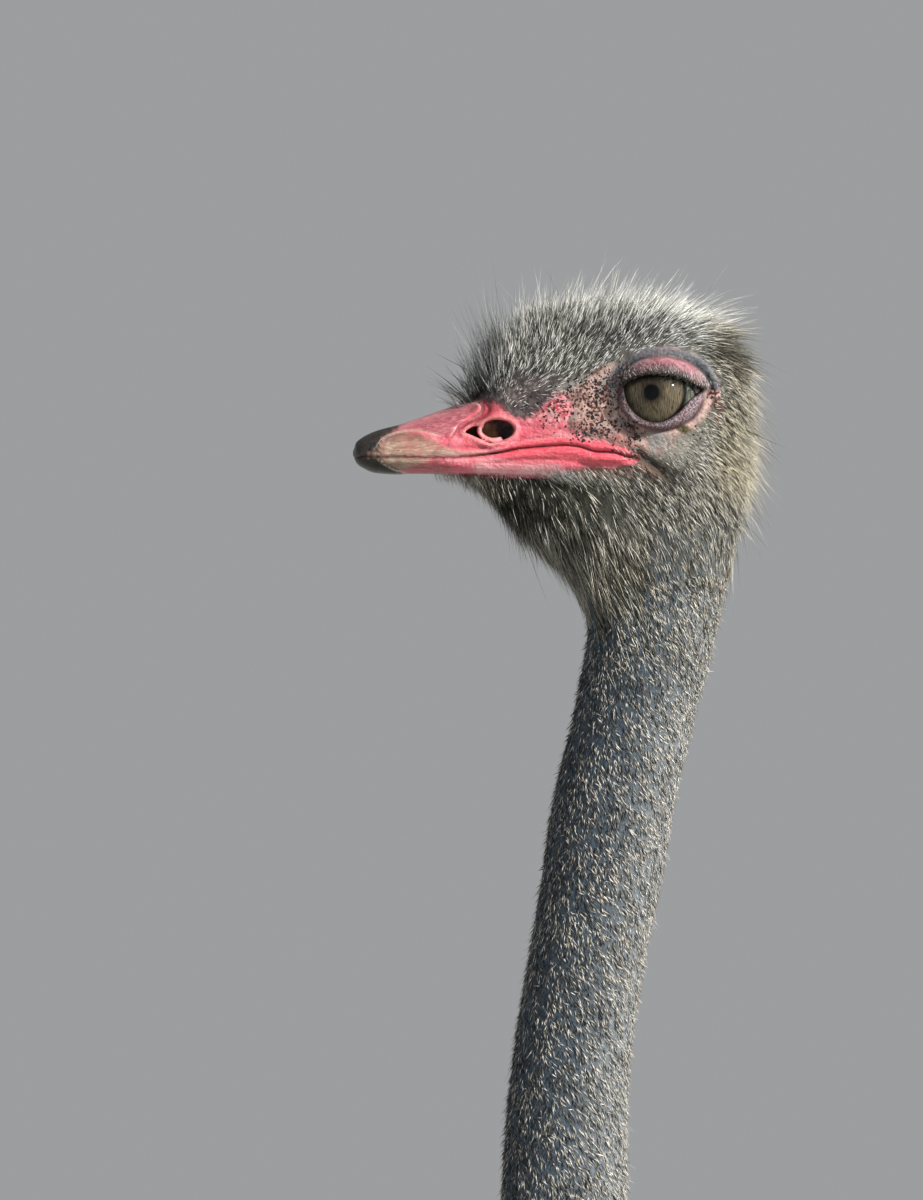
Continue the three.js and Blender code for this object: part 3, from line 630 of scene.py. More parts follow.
def thin_out(v, f, keep, name, weight=None):
    """Collapses a dense mesh to a share of its triangles, sparing what carries weight 0."""
    ob = make_mesh(name, v, f, smooth=False)
    if weight is not None:
        g = ob.vertex_groups.new(name="w")
        for lvl in np.unique(np.round(weight, 1)):
            g.add(np.flatnonzero(np.round(weight, 1) == lvl).tolist(), float(lvl), "REPLACE")
        decimate(ob, keep, "w", 1.0)
    else:
        decimate(ob, keep)
    me = ob.data
    v = coords(ob).astype(float)
    f = np.empty(len(me.loops), np.int32)
    me.loops.foreach_get("vertex_index", f)
    bpy.data.objects.remove(ob)
    bpy.data.meshes.remove(me)
    return v, f.reshape(-1, 3).astype(np.int64)


hw = to_world(hv)
hf = hq[:, ::-1]
hw, hf = keep_faces(hw, hf, hw[:, 2] > EYE_Z - 126.5)
hw, hf = biggest_part(hw, hf)
a_, x_, h_ = from_world(hw)
# 1 where the skin is bare and finely marked, 0 where feathers cover it
bare = np.maximum(sstep(106, 100, a_) * sstep(6, 0, h_) * sstep(-45, -40, h_), sstep(34, 29, np.hypot(a_ - 143.6, h_)) * sstep(8, 15, np.abs(x_)))
bare = np.maximum(bare, sstep(92, 98, a_) * sstep(-42, -37, h_) * sstep(16, 10, h_) * sstep(140, 132, a_))
bare = np.maximum(bare, sstep(-118, -121, h_))
hw, hf = thin_out(hw, hf, (0.177), "head_dense", np.clip(1 - bare * 0.93, 0, 1) * (h_ > -120))
print("head tris", len(hf))

parts_v, parts_f = [hw], [hf]
base_n = len(hw)


def append(v, f):
    global base_n
    start = base_n
    parts_v.append(v)
    parts_f.append(tris(f) + start)
    base_n += len(v)
    return start


# neck: rings square to its line
NS = 56
DOWN = 1.8  # depth of the down on the neck
zs = np.concatenate([np.arange(EYE_Z - 128.6, 1500, -5.0), np.arange(1500, 1392, -6.0)])


def neck_mid_world(z):
    """The neck's middle: the head's own table near the top, the body's below."""
    z = np.asarray(z, float)
    top = neck_mid(z - EYE_Z) + TIP_Y
    low = neck_y(z) + BODY
    k = sstep(EYE_Z - 120, EYE_Z - 150, z)
    return top * (1 - k) + low * k


def neck_rad(z):
    z = np.asarray(z, float)
    k = sstep(EYE_Z - 120, EYE_Z - 150, z)
    low_y = neck_r(z) - DOWN
    low_x = (neck_r(z) - DOWN) * np.where(z < 1400, 0.96, 1 - 0.15 * np.clip((z - 2170) / 90, 0, 1))
    return neck_wide(z - EYE_Z) * (1 - k) + low_x * k, neck_deep(z - EYE_Z) * (1 - k) + low_y * k


def neck_surface(z, t, out=0.0):
    """A point on the neck's skin and its outward normal. t runs from the left side (+X) over the rear (+Y)."""
    z = np.asarray(z, float)
    rx, ry = neck_rad(z)
    c, s = np.cos(t), np.sin(t)
    p = np.stack([(rx + out) * c, neck_mid_world(z) + (ry + out) * s, z + 0 * c], -1)
    slope = (neck_mid_world(z + 2) - neck_mid_world(z - 2)) / 4
    grow = (neck_rad(z + 2)[1] - neck_rad(z - 2)[1]) / 4
    n = np.stack([c / rx, s / ry, -(slope * s / ry + grow / ry)], -1)
    return p, n / np.linalg.norm(n, axis=-1, keepdims=True)


th = np.arange(NS) / NS * 2 * np.pi
rings, _ = neck_surface(zs[:, None] + 0 * th[None], th[None] + 0 * zs[:, None])
nz = len(zs)
idx = np.arange(nz * NS).reshape(nz, NS)
q = np.stack([idx[:-1], np.roll(idx[:-1], -1, 1), np.roll(idx[1:], -1, 1), idx[1:]], -1).reshape(-1, 4)
start = append(rings.reshape(-1, 3), q[:, ::-1])
neck_top_ring, neck_low_ring = start + np.arange(NS), start + (nz - 1) * NS + np.arange(NS)

# trunk, root of the neck and thighs: a coarse voxel skin under the plumage
TSTEP = 11.0
COAT = 38.0  # depth of the body plumage


def outward(v, f):
    """Faces wound so that their normals point out of the solid."""
    c = v.mean(0)
    p = v[f[:, :3]] - c
    if np.einsum("ij,ij->", p[:, 0], np.cross(p[:, 1], p[:, 2])) < 0:
        f = f[:, ::-1]
    return v, f


def trunk_field(x, y, z, grow=0.0):
    yb = y - BODY
    f = lambda c: c(yb.ravel()).reshape(yb.shape).astype(F)
    top, bot, half = f(trunk_top) + grow, f(trunk_bot) - grow, f(trunk_half) + grow
    wide = bot + 0.47 * (top - bot)
    d = section_field(yb, x, z, top, wide, bot, np.maximum(half, 6), 2.15, 2.25)
    d = smax(d, -478 - grow - yb, 30.0)
    return smax(d, yb - 526 - grow, 40.0)


def body_field(x, y, z):
    d = trunk_field(x, y, z, -COAT)
    # wing: a flat cushion along the flank
    t0 = trunk_field(x, y, z, 0.0)
    yb = y - BODY
    top, bot = (c(yb.ravel()).reshape(yb.shape) for c in (trunk_top, trunk_bot))
    wide = bot + 0.47 * (top - bot)
    up = (z - wide) / np.maximum(top - bot, 1)
    w = np.abs(t0 + 10) - 26
    w = smax(w, (up - 0.27) * 500, 30)
    w = smax(w, (-0.16 - up) * 500, 30)
    w = smax(w, np.abs(yb - 20) - 290, 50)
    d = smin(d, w.astype(F), 30.0)
    # root of the neck
    zz = np.clip(z, 1216, 1500)
    rr = neck_rad(zz.ravel())[1].reshape(zz.shape) - 14 * sstep(1380, 1300, zz) + 1
    n = np.hypot(x / 0.96, y - neck_mid_world(zz.ravel()).reshape(zz.shape)) - rr
    n = n * 0.8
    n = smax(n, 1225 - z, 30)
    d = smin(d, n.astype(F), 34.0)
    # thighs
    for side in (1, -1):
        zl = np.clip(z, 700, 1040)
        lx, ly, rx, ry = (v.reshape(zl.shape) for v in leg_at(side, zl.ravel()))
        g = (np.sqrt(((x - lx) / rx) ** 2 + ((y - ly) / ry) ** 2) - 1) * np.minimum(rx, ry) * 1.1
        g = smax(g, z - 1040, 30)
        d = smin(d, g.astype(F), 26.0)
    return d


bx = np.arange(-330, 330.1, TSTEP, dtype=F)
by = np.arange(-640, 560, TSTEP, dtype=F)
bz = np.arange(838, 1470, TSTEP, dtype=F)
bf = body_field(bx[:, None, None], by[None, :, None], bz[None, None, :])
tv, tf = outward(*polygonise(bf, (bx[0], by[0], bz[0]), TSTEP))
in_neck = np.hypot(tv[:, 0], tv[:, 1] - neck_mid_world(np.clip(tv[:, 2], 1215, 1500))) < 90
tv, tf = keep_faces(tv, tf, ~((tv[:, 2] > 1386) & in_neck) & (tv[:, 2] > 862))
tv, tf = biggest_part(tv, tf)
start = append(tv, tf)
t_edges = loop_of(tf, len(tv))
t_loop = np.unique(t_edges)
rim_neck = start + t_loop[tv[t_loop, 2] > 1300]
rim_leg = {s: start + t_loop[(tv[t_loop, 2] < 1000) & (tv[t_loop, 0] * s > 0)] for s in (1, -1)}

# legs: rings from the thigh down to the ankle joint of the toes, with the scutes in front
LS = 44
lz = np.concatenate([np.arange(856, 600, -8.0), np.arange(600, 470, -5.0), np.arange(470, 112, -3.4)])
leg_rings = {}


def scute_wave(z, pitch):
    """Plates across the front of the leg: flat faces with narrow grooves."""
    u = (z / pitch) % 1.0
    return 1 - np.exp(-((np.minimum(u, 1 - u) / 0.11) ** 2))


for side in (1, -1):
    t = np.arange(LS) / LS * 2 * np.pi
    x0, y0, rx, ry = (v[:, None] for v in leg_at(side, lz))
    Z = lz[:, None] + 0 * t[None]
    c, s = np.cos(t)[None], np.sin(t)[None]
    # seen from above, t = -90 degrees is the front
    front = np.clip(-s, 0, 1) ** 1.5
    low = sstep(486, 440, Z)
    ins = 1.2 - 1.1 * scute_wave(Z, 13.5) * front * low
    # muscle and tendon: calf bulge, tendon ridge behind, flattened sides
    tendon = np.clip(s, 0, 1) ** 3 * low * 3.2 - low * np.abs(c) ** 3 * 1.6
    knob = 2.6 * gauss(Z - 528, 26) * (np.abs(c) ** 4) + 2.2 * gauss(Z - 500, 16) * np.clip(-s, 0, 1) ** 2
    calf = sstep(560, 640, Z) * (1.5 * np.sin(2 * t[None] + 0.6) - 2.2 * gauss(Z - 690, 60) * np.clip(s, 0, 1) ** 2)
    off = -ins - 0.8 + np.minimum(tendon, 1.0) * 0.7 + np.minimum(knob, 1.0) * 0.7 + calf * 0.7
    p = np.stack([x0 + (rx + off) * c, y0 + (ry + off) * s, Z], -1)
    nl = len(lz)
    idx = np.arange(nl * LS).reshape(nl, LS)
    q = np.stack([idx[:-1], np.roll(idx[:-1], -1, 1), np.roll(idx[1:], -1, 1), idx[1:]], -1).reshape(-1, 4)
    start = append(p.reshape(-1, 3), q[:, ::-1])
    leg_rings[side] = (start + np.arange(LS), start + (nl - 1) * LS + np.arange(LS))

# feet: voxel skin with scutes over the toes and flat soles
FSTEP = 1.9
foot_rims = {}
foot_v = {}


def toe_field(rows, side, x, y, degrees, X, Y, Z, pitch):
    half, top = columns(rows)
    a = math.radians(degrees)
    u0, s0 = side * X - x, -(Y - y)
    s = u0 * math.sin(a) + s0 * math.cos(a)
    u = u0 * math.cos(a) - s0 * math.sin(a)
    hs, ts = half(s.ravel()).reshape(s.shape), top(s.ravel()).reshape(s.shape)
    wide = np.minimum(16, ts * 0.42)
    d = section_field(s, u, Z, ts, wide, -6.0, hs, 2.2, 3.2)
    d = smax(d, rows[0][0] - s, 8)
    d = smax(d, s - rows[-1][0], 6)
    over = sstep(0.25, 0.75, (Z - wide) / np.maximum(ts - wide, 4)) * sstep(hs * 0.95, hs * 0.6, np.abs(u))
    d = d + 1.5 - over * (1.1 * scute_wave(s, pitch) - 0.2)
    # pads: a groove between the sole and the side of the toe
    d = d + 1.0 * gauss(Z - 9, 2.2) * (1 - over)
    return d.astype(F)


for side in (1, -1):
    shift = -STAGGER if side > 0 else STAGGER
    fx, fy = 96.0, FOOT_Y - 14 + shift + BODY
    xs = np.arange(20, 215, FSTEP, dtype=F) if side > 0 else np.arange(-215, -20, FSTEP, dtype=F)
    ys = np.arange(fy - 182, fy + 62, FSTEP, dtype=F)
    zz = np.arange(-4 * FSTEP + 0.001, 122, FSTEP, dtype=F)
    X, Y, Z = xs[:, None, None], ys[None, :, None], zz[None, None, :]
    X, Y, Z = np.broadcast_arrays(X, Y, Z)
    d1 = toe_field(TOE_INNER, side, fx - 6, fy, 3, X, Y, Z, 10.5)
    d2 = toe_field(TOE_OUTER, side, fx + 16, fy - 4, 27, X, Y, Z, 8.0)
    lx, ly, rx, ry = (v.reshape(Z.shape) for v in leg_at(side, np.clip(Z, 40, 200).ravel()))
    c, s = (X - lx) / rx, (Y - ly) / ry
    n = np.sqrt(c**2 + s**2)
    c, s = c / np.maximum(n, 1e-3), s / np.maximum(n, 1e-3)
    off = -(1.2 - 1.1 * scute_wave(Z, 13.5) * np.clip(-s, 0, 1) ** 1.5) - 0.8 + np.minimum(np.clip(s, 0, 1) ** 3 * 3.2 - np.abs(c) ** 3 * 1.6, 1.0) * 0.7
    g = (n - 1) * np.minimum(rx, ry) - off
    d = smin(smin(d1, d2, 5.0), g.astype(F), 9.0)
    d = smax(d, -Z, 1.2)
    fv, ff = outward(*polygonise(d, (xs[0], ys[0], zz[0]), FSTEP))
    fv[:, 2] = np.maximum(fv[:, 2], 0.0)
    fv, ff = keep_faces(fv, ff, fv[:, 2] < 110.2)
    fv, ff = biggest_part(fv, ff)
    fv, ff = thin_out(fv, ff, 0.55, "foot_dense")
    start = append(fv, ff)
    lp = np.unique(loop_of(ff, len(fv)))
    foot_rims[side] = start + lp[fv[lp, 2] > 100]

V = np.concatenate(parts_v)
he = np.unique(loop_of(hf, len(hw)))
he = he[hw[he, 2] < EYE_Z - 120]
ex, ey, ez = np.eye(3)
cn = np.array([0, float(neck_mid_world(EYE_Z - 128)), EYE_Z - 128])
Z_ = [zip_loops(V, he, V, neck_top_ring, cn, ex, ey)]
cn = np.array([0, float(neck_mid_world(1390)), 1390])
Z_.append(zip_loops(V, neck_low_ring, V, rim_neck, cn, ex, ey))
for side in (1, -1):
    lx, ly, _, _ = leg_at(side, 860)
    Z_.append(zip_loops(V, rim_leg[side], V, leg_rings[side][0], np.array([lx, ly, 860.0]), ex, ey))
    lx, ly, _, _ = leg_at(side, 111)
    Z_.append(zip_loops(V, leg_rings[side][1], V, foot_rims[side], np.array([lx, ly, 111.0]), ex, ey))
Fc = np.concatenate([tris(f) for f in parts_f] + Z_)
print("skin tris", len(Fc), "of them head", len(hf), "feet etc", [len(f) for f in parts_f])
bpy.data.objects.remove(skin)
skin = make_mesh("skin", V, Fc)


# ---------------------------------------------------------------- markings, painted highlights and painted shade, as fields over the skin
def inside(a, h, pts, soft=1.5):
    return sstep(soft, -soft, line_dist(a, h, pts, True))


ZONES = dict(
    pink=[(16, -8), (30, -4), (41, 0), (54, 4), (60, 3), (66, 1.5), (70.0, 0.0), (72.0, -5.5), (77.2, -9.4), (82, -9.0), (86, -6.8), (90, -3.0), (94, 0.5), (98.5, 2.0), (102, -1.5), (103.6, -6), (102.4, -10.5), (102.0, -14), (106, -17.5), (113, -19.4), (119, -21), (123.5, -23.4), (131, -25.4), (136.0, -28.6), (131, -31.6), (124, -33), (117, -33.2), (107, -34.6), (98, -36.6), (86, -37.4), (74, -37.0), (66, -36.6), (51, -36.4), (30, -39), (14, -40), (12, -30)],
    nail=[(-6, -4), (12, -8), (21.5, -12.0), (20.5, -15.8), (14.8, -19.4), (10.5, -25.0), (7.2, -28.0), (12.5, -28.2), (17.5, -31.6), (23.0, -35.0), (26, -40), (-6, -42)],
    cream=[(10.8, -27.4), (12.5, -23.3), (15.2, -19.9), (18.6, -17.5), (23.3, -16.1), (28.0, -16.5), (32.8, -17.6), (38.2, -19.2), (42.9, -21.3), (46.6, -23.0), (50.4, -25.0), (55.8, -26.1), (60.5, -27.1), (55.8, -27.8), (36.8, -28.0), (16.5, -27.8)],
    lower_cream=[(11.5, -28.2), (29, -28.2), (36, -29.2), (30, -31.6), (22, -34.4), (18.0, -33.6), (14.5, -31.0)],
    lip=[(70.5, -26.0), (76, -21.6), (84, -20.2), (93.4, -19.4), (102, -19.4), (110.3, -20.9), (117, -22.1), (124, -23.1), (131, -25.6), (136, -28.6), (131, -31.0), (124, -31.8), (116, -31.4), (107, -31.0), (98, -30.0), (88, -29.6), (78, -29.8), (70, -28.5)],
    patch=[(57.0, 7.0), (57.8, 2.0), (61.0, 0.0), (66.0, -1.0), (70.0, -3.0), (74.0, -6.0), (78.5, -8.6), (83, -7.6), (88.0, -3.5), (93.0, 1.5), (95, 6), (92, 10), (84, 9), (76, 8), (69, 11), (62, 10)],
    face=[(93, 2), (98, 5), (106, 8), (114, 11), (121, 15), (126, 13), (127, 4), (123, -4), (128, -14), (134, -19), (142, -19), (152, -17), (150, -24), (140, -28), (131, -25), (123, -22.5), (113, -18.5), (106, -17), (102, -12), (98, -5)],
)


def head_marks(a, x, h):
    """Every marking of the head, with the painted highlights and painted shade, as a value from 0 to 1."""
    ax = np.abs(x)
    n1 = np.sin(a * 1.31 + h * 0.7) * np.sin(h * 1.63 - a * 0.45 + x * 0.5)
    n2 = np.sin(a * 0.53 + 1.3) * np.sin(h * 0.61 + x * 0.33 + 0.4)
    rough_ = sstep(-33, -28, h)
    aw, hw_ = a + 0.7 * n1 * rough_, h + (0.7 * np.sin(a * 1.7 + h) + 0.5 * n2) * rough_
    m = {}
    head_on = sstep(-60, -50, h)
    soft = 1.6 + 6.0 * np.maximum(sstep(88, 100, a) * (h > -17.5), sstep(64, 71, a) * (h > -14) * (h < 12)) + 2.5 * sstep(92, 104, a) * (h < -30) + 1.6 * sstep(100, 108, a) * (h <= -17.5) * (h > -27)
    m["pink"] = sstep(soft, -soft, line_dist(aw, hw_, ZONES["pink"], True))
    # the pink goes round the lower edge of the mandible
    m["pink"] = np.maximum(m["pink"], sstep(34, 44, a) * sstep(100, 92, a) * sstep(-39.0, -37.6, h) * sstep(-29, -32, h))
    m["pap"] = np.exp(-(((a - 96) / 9.0) ** 2 + ((h + 6.0) / 7.5) ** 2))
    ridge = np.interp(a, [0, 14, 21, 31, 40, 47, 52, 60], [-27, -19, -16.5, -15.5, -17.5, -19, -12, -4])
    m["dusty"] = np.maximum(sstep(66, 58, a) * sstep(ridge - 1, ridge + 2, h), 0)
    m["brown"] = 0.72 * sstep(56, 38, a) * sstep(-27.5, -30, h)
    m["nail"] = inside(aw, hw_, ZONES["nail"], 2.0 + 1.9 * (h > -26.6) + 3.4 * sstep(-22, -12, h))
    under = inside(a, h, ZONES["nail"], 5.5) * sstep(-13.5, -16.5, h) * sstep(-36, -33, h)
    # the cream is strongest along its lower edge by the mouth, partly a painted highlight on the glossy edge
    m["cream"] = np.maximum(inside(aw, hw_, ZONES["cream"], 2.0 + 3.4 * sstep(22, 36, a)) * (0.42 + 0.58 * np.maximum(sstep(52, 26, a), gauss(h + 26.3, 1.6))), 0.9 * inside(aw, hw_, ZONES["lower_cream"], 2.0 + 2.2 * sstep(18, 28, a)))
    m["cream"] = np.maximum(m["cream"], under)
    lines = lambda pts: line_dist(a, h, pts)
    # Painted highlights as pale pink lines: along the tomium above the mouth and the lower mandible's upper edge, on
    # the culmen and behind the nostril, with a broad painted lighter band over the shaded lower side of the mandible;
    # along the nostril's flap it is the flap's own pale colour.
    light = 0.75 * gauss(lines([(23, -26.5), (40, -26.8), (61, -26.2), (77.5, -24.0), (91, -21.4)]), 0.9)
    light = np.maximum(light, 0.7 * gauss(lines([(77, -22.4), (88, -20.4), (99, -18.8), (112, -20.4)]), 1.1))
    light = np.maximum(light, 0.34 * gauss(lines([(20.6, -14.6), (34, -9.2), (50.4, -3.2), (58, -2.0)]), 1.6))
    light = np.maximum(light, 0.97 * gauss(lines([(60, -33.8), (78, -34.8), (95, -34.4)]), 3.3))
    light = np.maximum(light, 0.5 * gauss(lines([(44, -29.4), (58, -29.8), (72, -30.0)]), 1.1))
    light = np.maximum(light, 0.45 * gauss(lines([(84, -10), (92, -8.5), (98, -10)]), 2.2))
    light = np.maximum(light, 0.75 * gauss(line_dist(a, h, L["flap"]), 1.3) * (ax > 10))
    m["light"] = light
    # Darker crimson, mostly painted shade in the grooves: along the culmen plate's border, the crease under the lower
    # lip, the groove above the mouth and the one behind the nostril; the spot at the patch's front edge is crimson
    # skin.
    crim = 0.8 * gauss(lines([(62.5, -1.5), (64.5, -6.2), (60.4, -10.4), (53.5, -13.2), (50.6, -18.5)]), 1.2)
    crim = np.maximum(crim, 0.4 * gauss(lines([(58, -30.2), (75, -30.6), (95, -31.0), (115, -31.4)]), 0.8))
    crim = np.maximum(crim, 0.6 * np.exp(-(((a - 66.5) / 5.0) ** 2 + ((h + 1.5) / 4.0) ** 2)))
    crim = np.maximum(crim, 0.55 * gauss(lines([(38, -22.0), (48, -23.0), (57, -23.6), (66, -24.0)]), 1.1))
    crim = np.maximum(crim, 0.5 * gauss(lines([(79, -12), (86, -13.5), (96, -14.5), (104, -16.5)]), 1.4))
    m["crim"] = crim
    m["lip"] = inside(a, h, ZONES["lip"], 1.4)
    m["patch"] = inside(aw, hw_, ZONES["patch"], 5.0)
    m["creamtop"] = sstep(-24.5, -17.5, h)
    er = np.where(h > 0, np.hypot((a - 146.1) / 26.5, h / 22.8), np.hypot((a - 145.3) / 23.5, (h - 1) / 19.5))
    socket = sstep(1.1, 0.95, er) * (ax > 12)
    m["face"] = np.maximum(inside(aw, hw_, ZONES["face"], 3.0) * (ax > 12), socket) * (1 - m["pink"])
    # rings round the eye: the opening, then the lids out to their creases
    op = line_dist(a, h, L["opening"], True)
    up = h > np.interp(a, [120, 128, 150, 166, 180], [4, 4.5, 4, 3, 3])
    rim_in = np.hypot((a - 146.1) / 22.5, h / 19.0)
    low_in = np.hypot((a - 145.1) / 20.8, (h - 1) / 17.4)
    m["lid"] = np.where(up, sstep(1.03, 0.97, rim_in), sstep(1.03, 0.97, low_in)) * (op > -1.0) * (ax > 14)
    m["lidtop"] = np.where(up, sstep(0.60, 0.86, rim_in) * sstep(1.02, 0.97, rim_in), 0) * sstep(128, 137, a) * sstep(168, 158, a) * (ax > 14)
    m["margin"] = np.where(up, gauss(np.maximum(op, 0), 1.5), gauss(np.maximum(op, 0), 0.9)) * (ax > 14)
    m["lowshade"] = np.where(up, 0, gauss(low_in - 1.0, 0.09)) * (ax > 14)
    m["lash"] = np.where(up, gauss(op - 0.8, 3.4), 0) * (ax > 14)
    m["brow"] = sstep(0.98, 1.04, rim_in) * sstep(1.34, 1.14, rim_in) * up * (ax > 12)
    m["browpink"] = m["brow"] * gauss(a - 143, 9.0)
    dk = gauss(line_dist(a, h, L["mouth"]), 0.55)
    # the furrow behind the gape, darkened as painted shade in the fold
    m["furrow"] = np.maximum(gauss(line_dist(a, h, L["furrow"]), 2.6), gauss(line_dist(a, h, [(133, -27), (140, -31.5), (149, -36)]), 3.0)) * (ax > 10)
    pale = 0.9 * gauss(line_dist(a, h, [(11.8, -28.4), (15.2, -31.5), (19.4, -34.1), (24.5, -35.4)]), 0.5)
    pale = np.maximum(pale, 0.6 * gauss(line_dist(a, h, [(11.5, -23.5), (14.5, -19.6), (16.8, -18.0), (21.1, -16.4), (26.1, -15.6), (32.7, -15.6), (38.5, -16.9), (43.0, -18.2)]), 0.5))
    pale = np.maximum(pale, 0.55 * gauss(line_dist(a, h, [(52.0, -2.6), (56.5, -2.4), (59.9, -3.4), (61.2, -5.6), (59.3, -8.3), (55.4, -10.6)]), 0.5))
    m["pale"] = pale
    for a0 in np.arange(38.0, 58.0, 2.3):
        dk = np.maximum(dk, 0.34 * gauss(line_dist(a, h, [(a0, -29.4), (a0 + 2.6, -31.6), (a0 + 6.2, -33.6)]), 0.34))
    dk = np.maximum(dk, 0.5 * gauss(line_dist(a, h, [(53.5, -0.9), (58.5, -1.4), (61.4, -3.0), (62.3, -5.8), (60.3, -9.3), (55.6, -11.7), (51.2, -14.8), (49.4, -18.0)]), 0.5))
    dk = np.maximum(dk, 0.45 * gauss(line_dist(a, h, L["uplip"]), 0.5) * sstep(76, 68, a * 0 + 72))
    dk = np.maximum(dk, 0.75 * gauss(line_dist(a, h, L["crease"]), 0.75) * (ax > 12))
    dk = np.maximum(dk, 0.55 * gauss(line_dist(a, h, L["lowlid"]), 0.8) * (ax > 12))
    dk = np.maximum(dk, 0.4 * gauss(line_dist(a, h, L["culmen_low"]), 0.45))
    nd = line_dist(a, h, L["nostril"], True)
    side = np.interp(a, [50, 80], [19.2, 22.5])
    deep = sstep(side - 1.0, side - 3.4, ax)
    # near black inside the nostril's pocket: painted shade
    m["hole"] = sstep(0.3, -0.3, nd) * deep * (1 - 0.97 * gauss(line_dist(a, h, L["flap"]), 1.15) * sstep(side - 8, side - 5, ax))
    # pale pink round the nostril's raised rim: a painted highlight
    m["rim"] = gauss(nd - 0.9, 0.8) * (ax > 10)
    m["olive"] = sstep(4.4, 0.6, line_dist(a, h, [(62.6, -14.2), (62.9, -16.8), (65.4, -18.6)])) * (ax > 10)
    m["dark"] = np.clip(dk, 0, 1) * head_on
    sp = np.zeros(np.shape(a))
    for sa, sh_, ra, rh, amp in ((120.5, 5.5, 5.5, 7.0, 1.0), (112.5, -2.0, 8.5, 9.0, 0.85), (114.0, -15.5, 11.0, 4.2, 0.8), (121.5, -15.0, 5.0, 5.5, 0.8),
                                 (132.0, -19.5, 3.2, 6.0, 1.0), (97, -6.0, 8.0, 8.0, 0.5), (106, 2.0, 7.0, 5.0, 0.6), (171.5, -1.0, 2.8, 6.5, 0.85), (173.5, -9.0, 2.4, 5.5, 0.7),
                                 (127.0, 12.5, 4.0, 4.0, 0.5), (104, 6.0, 5.0, 3.0, 0.6), (164, -18, 4, 4, 0.3)):
        sp += amp * np.exp(-(((a - sa) / ra) ** 2 + ((h - sh_) / rh) ** 2))
    m["speck"] = np.clip(sp * 1.3, 0, 1) * (ax > 12)
    m["redspot"] = np.exp(-(((a - 171.5) / 4.0) ** 2 + ((h + 3.0) / 10.5) ** 2)) * (ax > 10)
    m["wart"] = np.maximum(sstep(3.0, 1.4, np.hypot((a - 155.6) * 0.7 + (h + 15.2) * 0.3, (h + 15.2))), 0.8 * sstep(2.4, 1.0, np.hypot(a - 168.0, (h + 18.5)))) * (ax > 12)
    m["cheek"] = np.exp(-(((a - 152) / 17.0) ** 2 + ((h + 24.0) / 11.0) ** 2)) * (ax > 10)
    m["gape"] = np.maximum(np.exp(-(((a - 138) / 6.0) ** 2 + ((h + 35.5) / 3.6) ** 2)), 0.85 * gauss(line_dist(a, h, [(106, -37.0), (122, -36.2), (136, -34.8), (142, -35.6)]), 2.8)) * (ax > 10)
    m["overgape"] = gauss(line_dist(a, h, [(100, -13), (112, -16.5), (124, -20.5), (134, -25)]), 3.6) * (ax > 10)
    # under the jaw the skin is darkened: painted shade
    m["throat"] = sstep(-34, -46, h - 0.25 * (a - 60).clip(0, 40)) * sstep(140, 100, a)
    m["pap"] = np.clip(m["pap"] * 1.25, 0, 1)
    return {k: np.clip(v, 0, 1).astype(F) for k, v in m.items()}


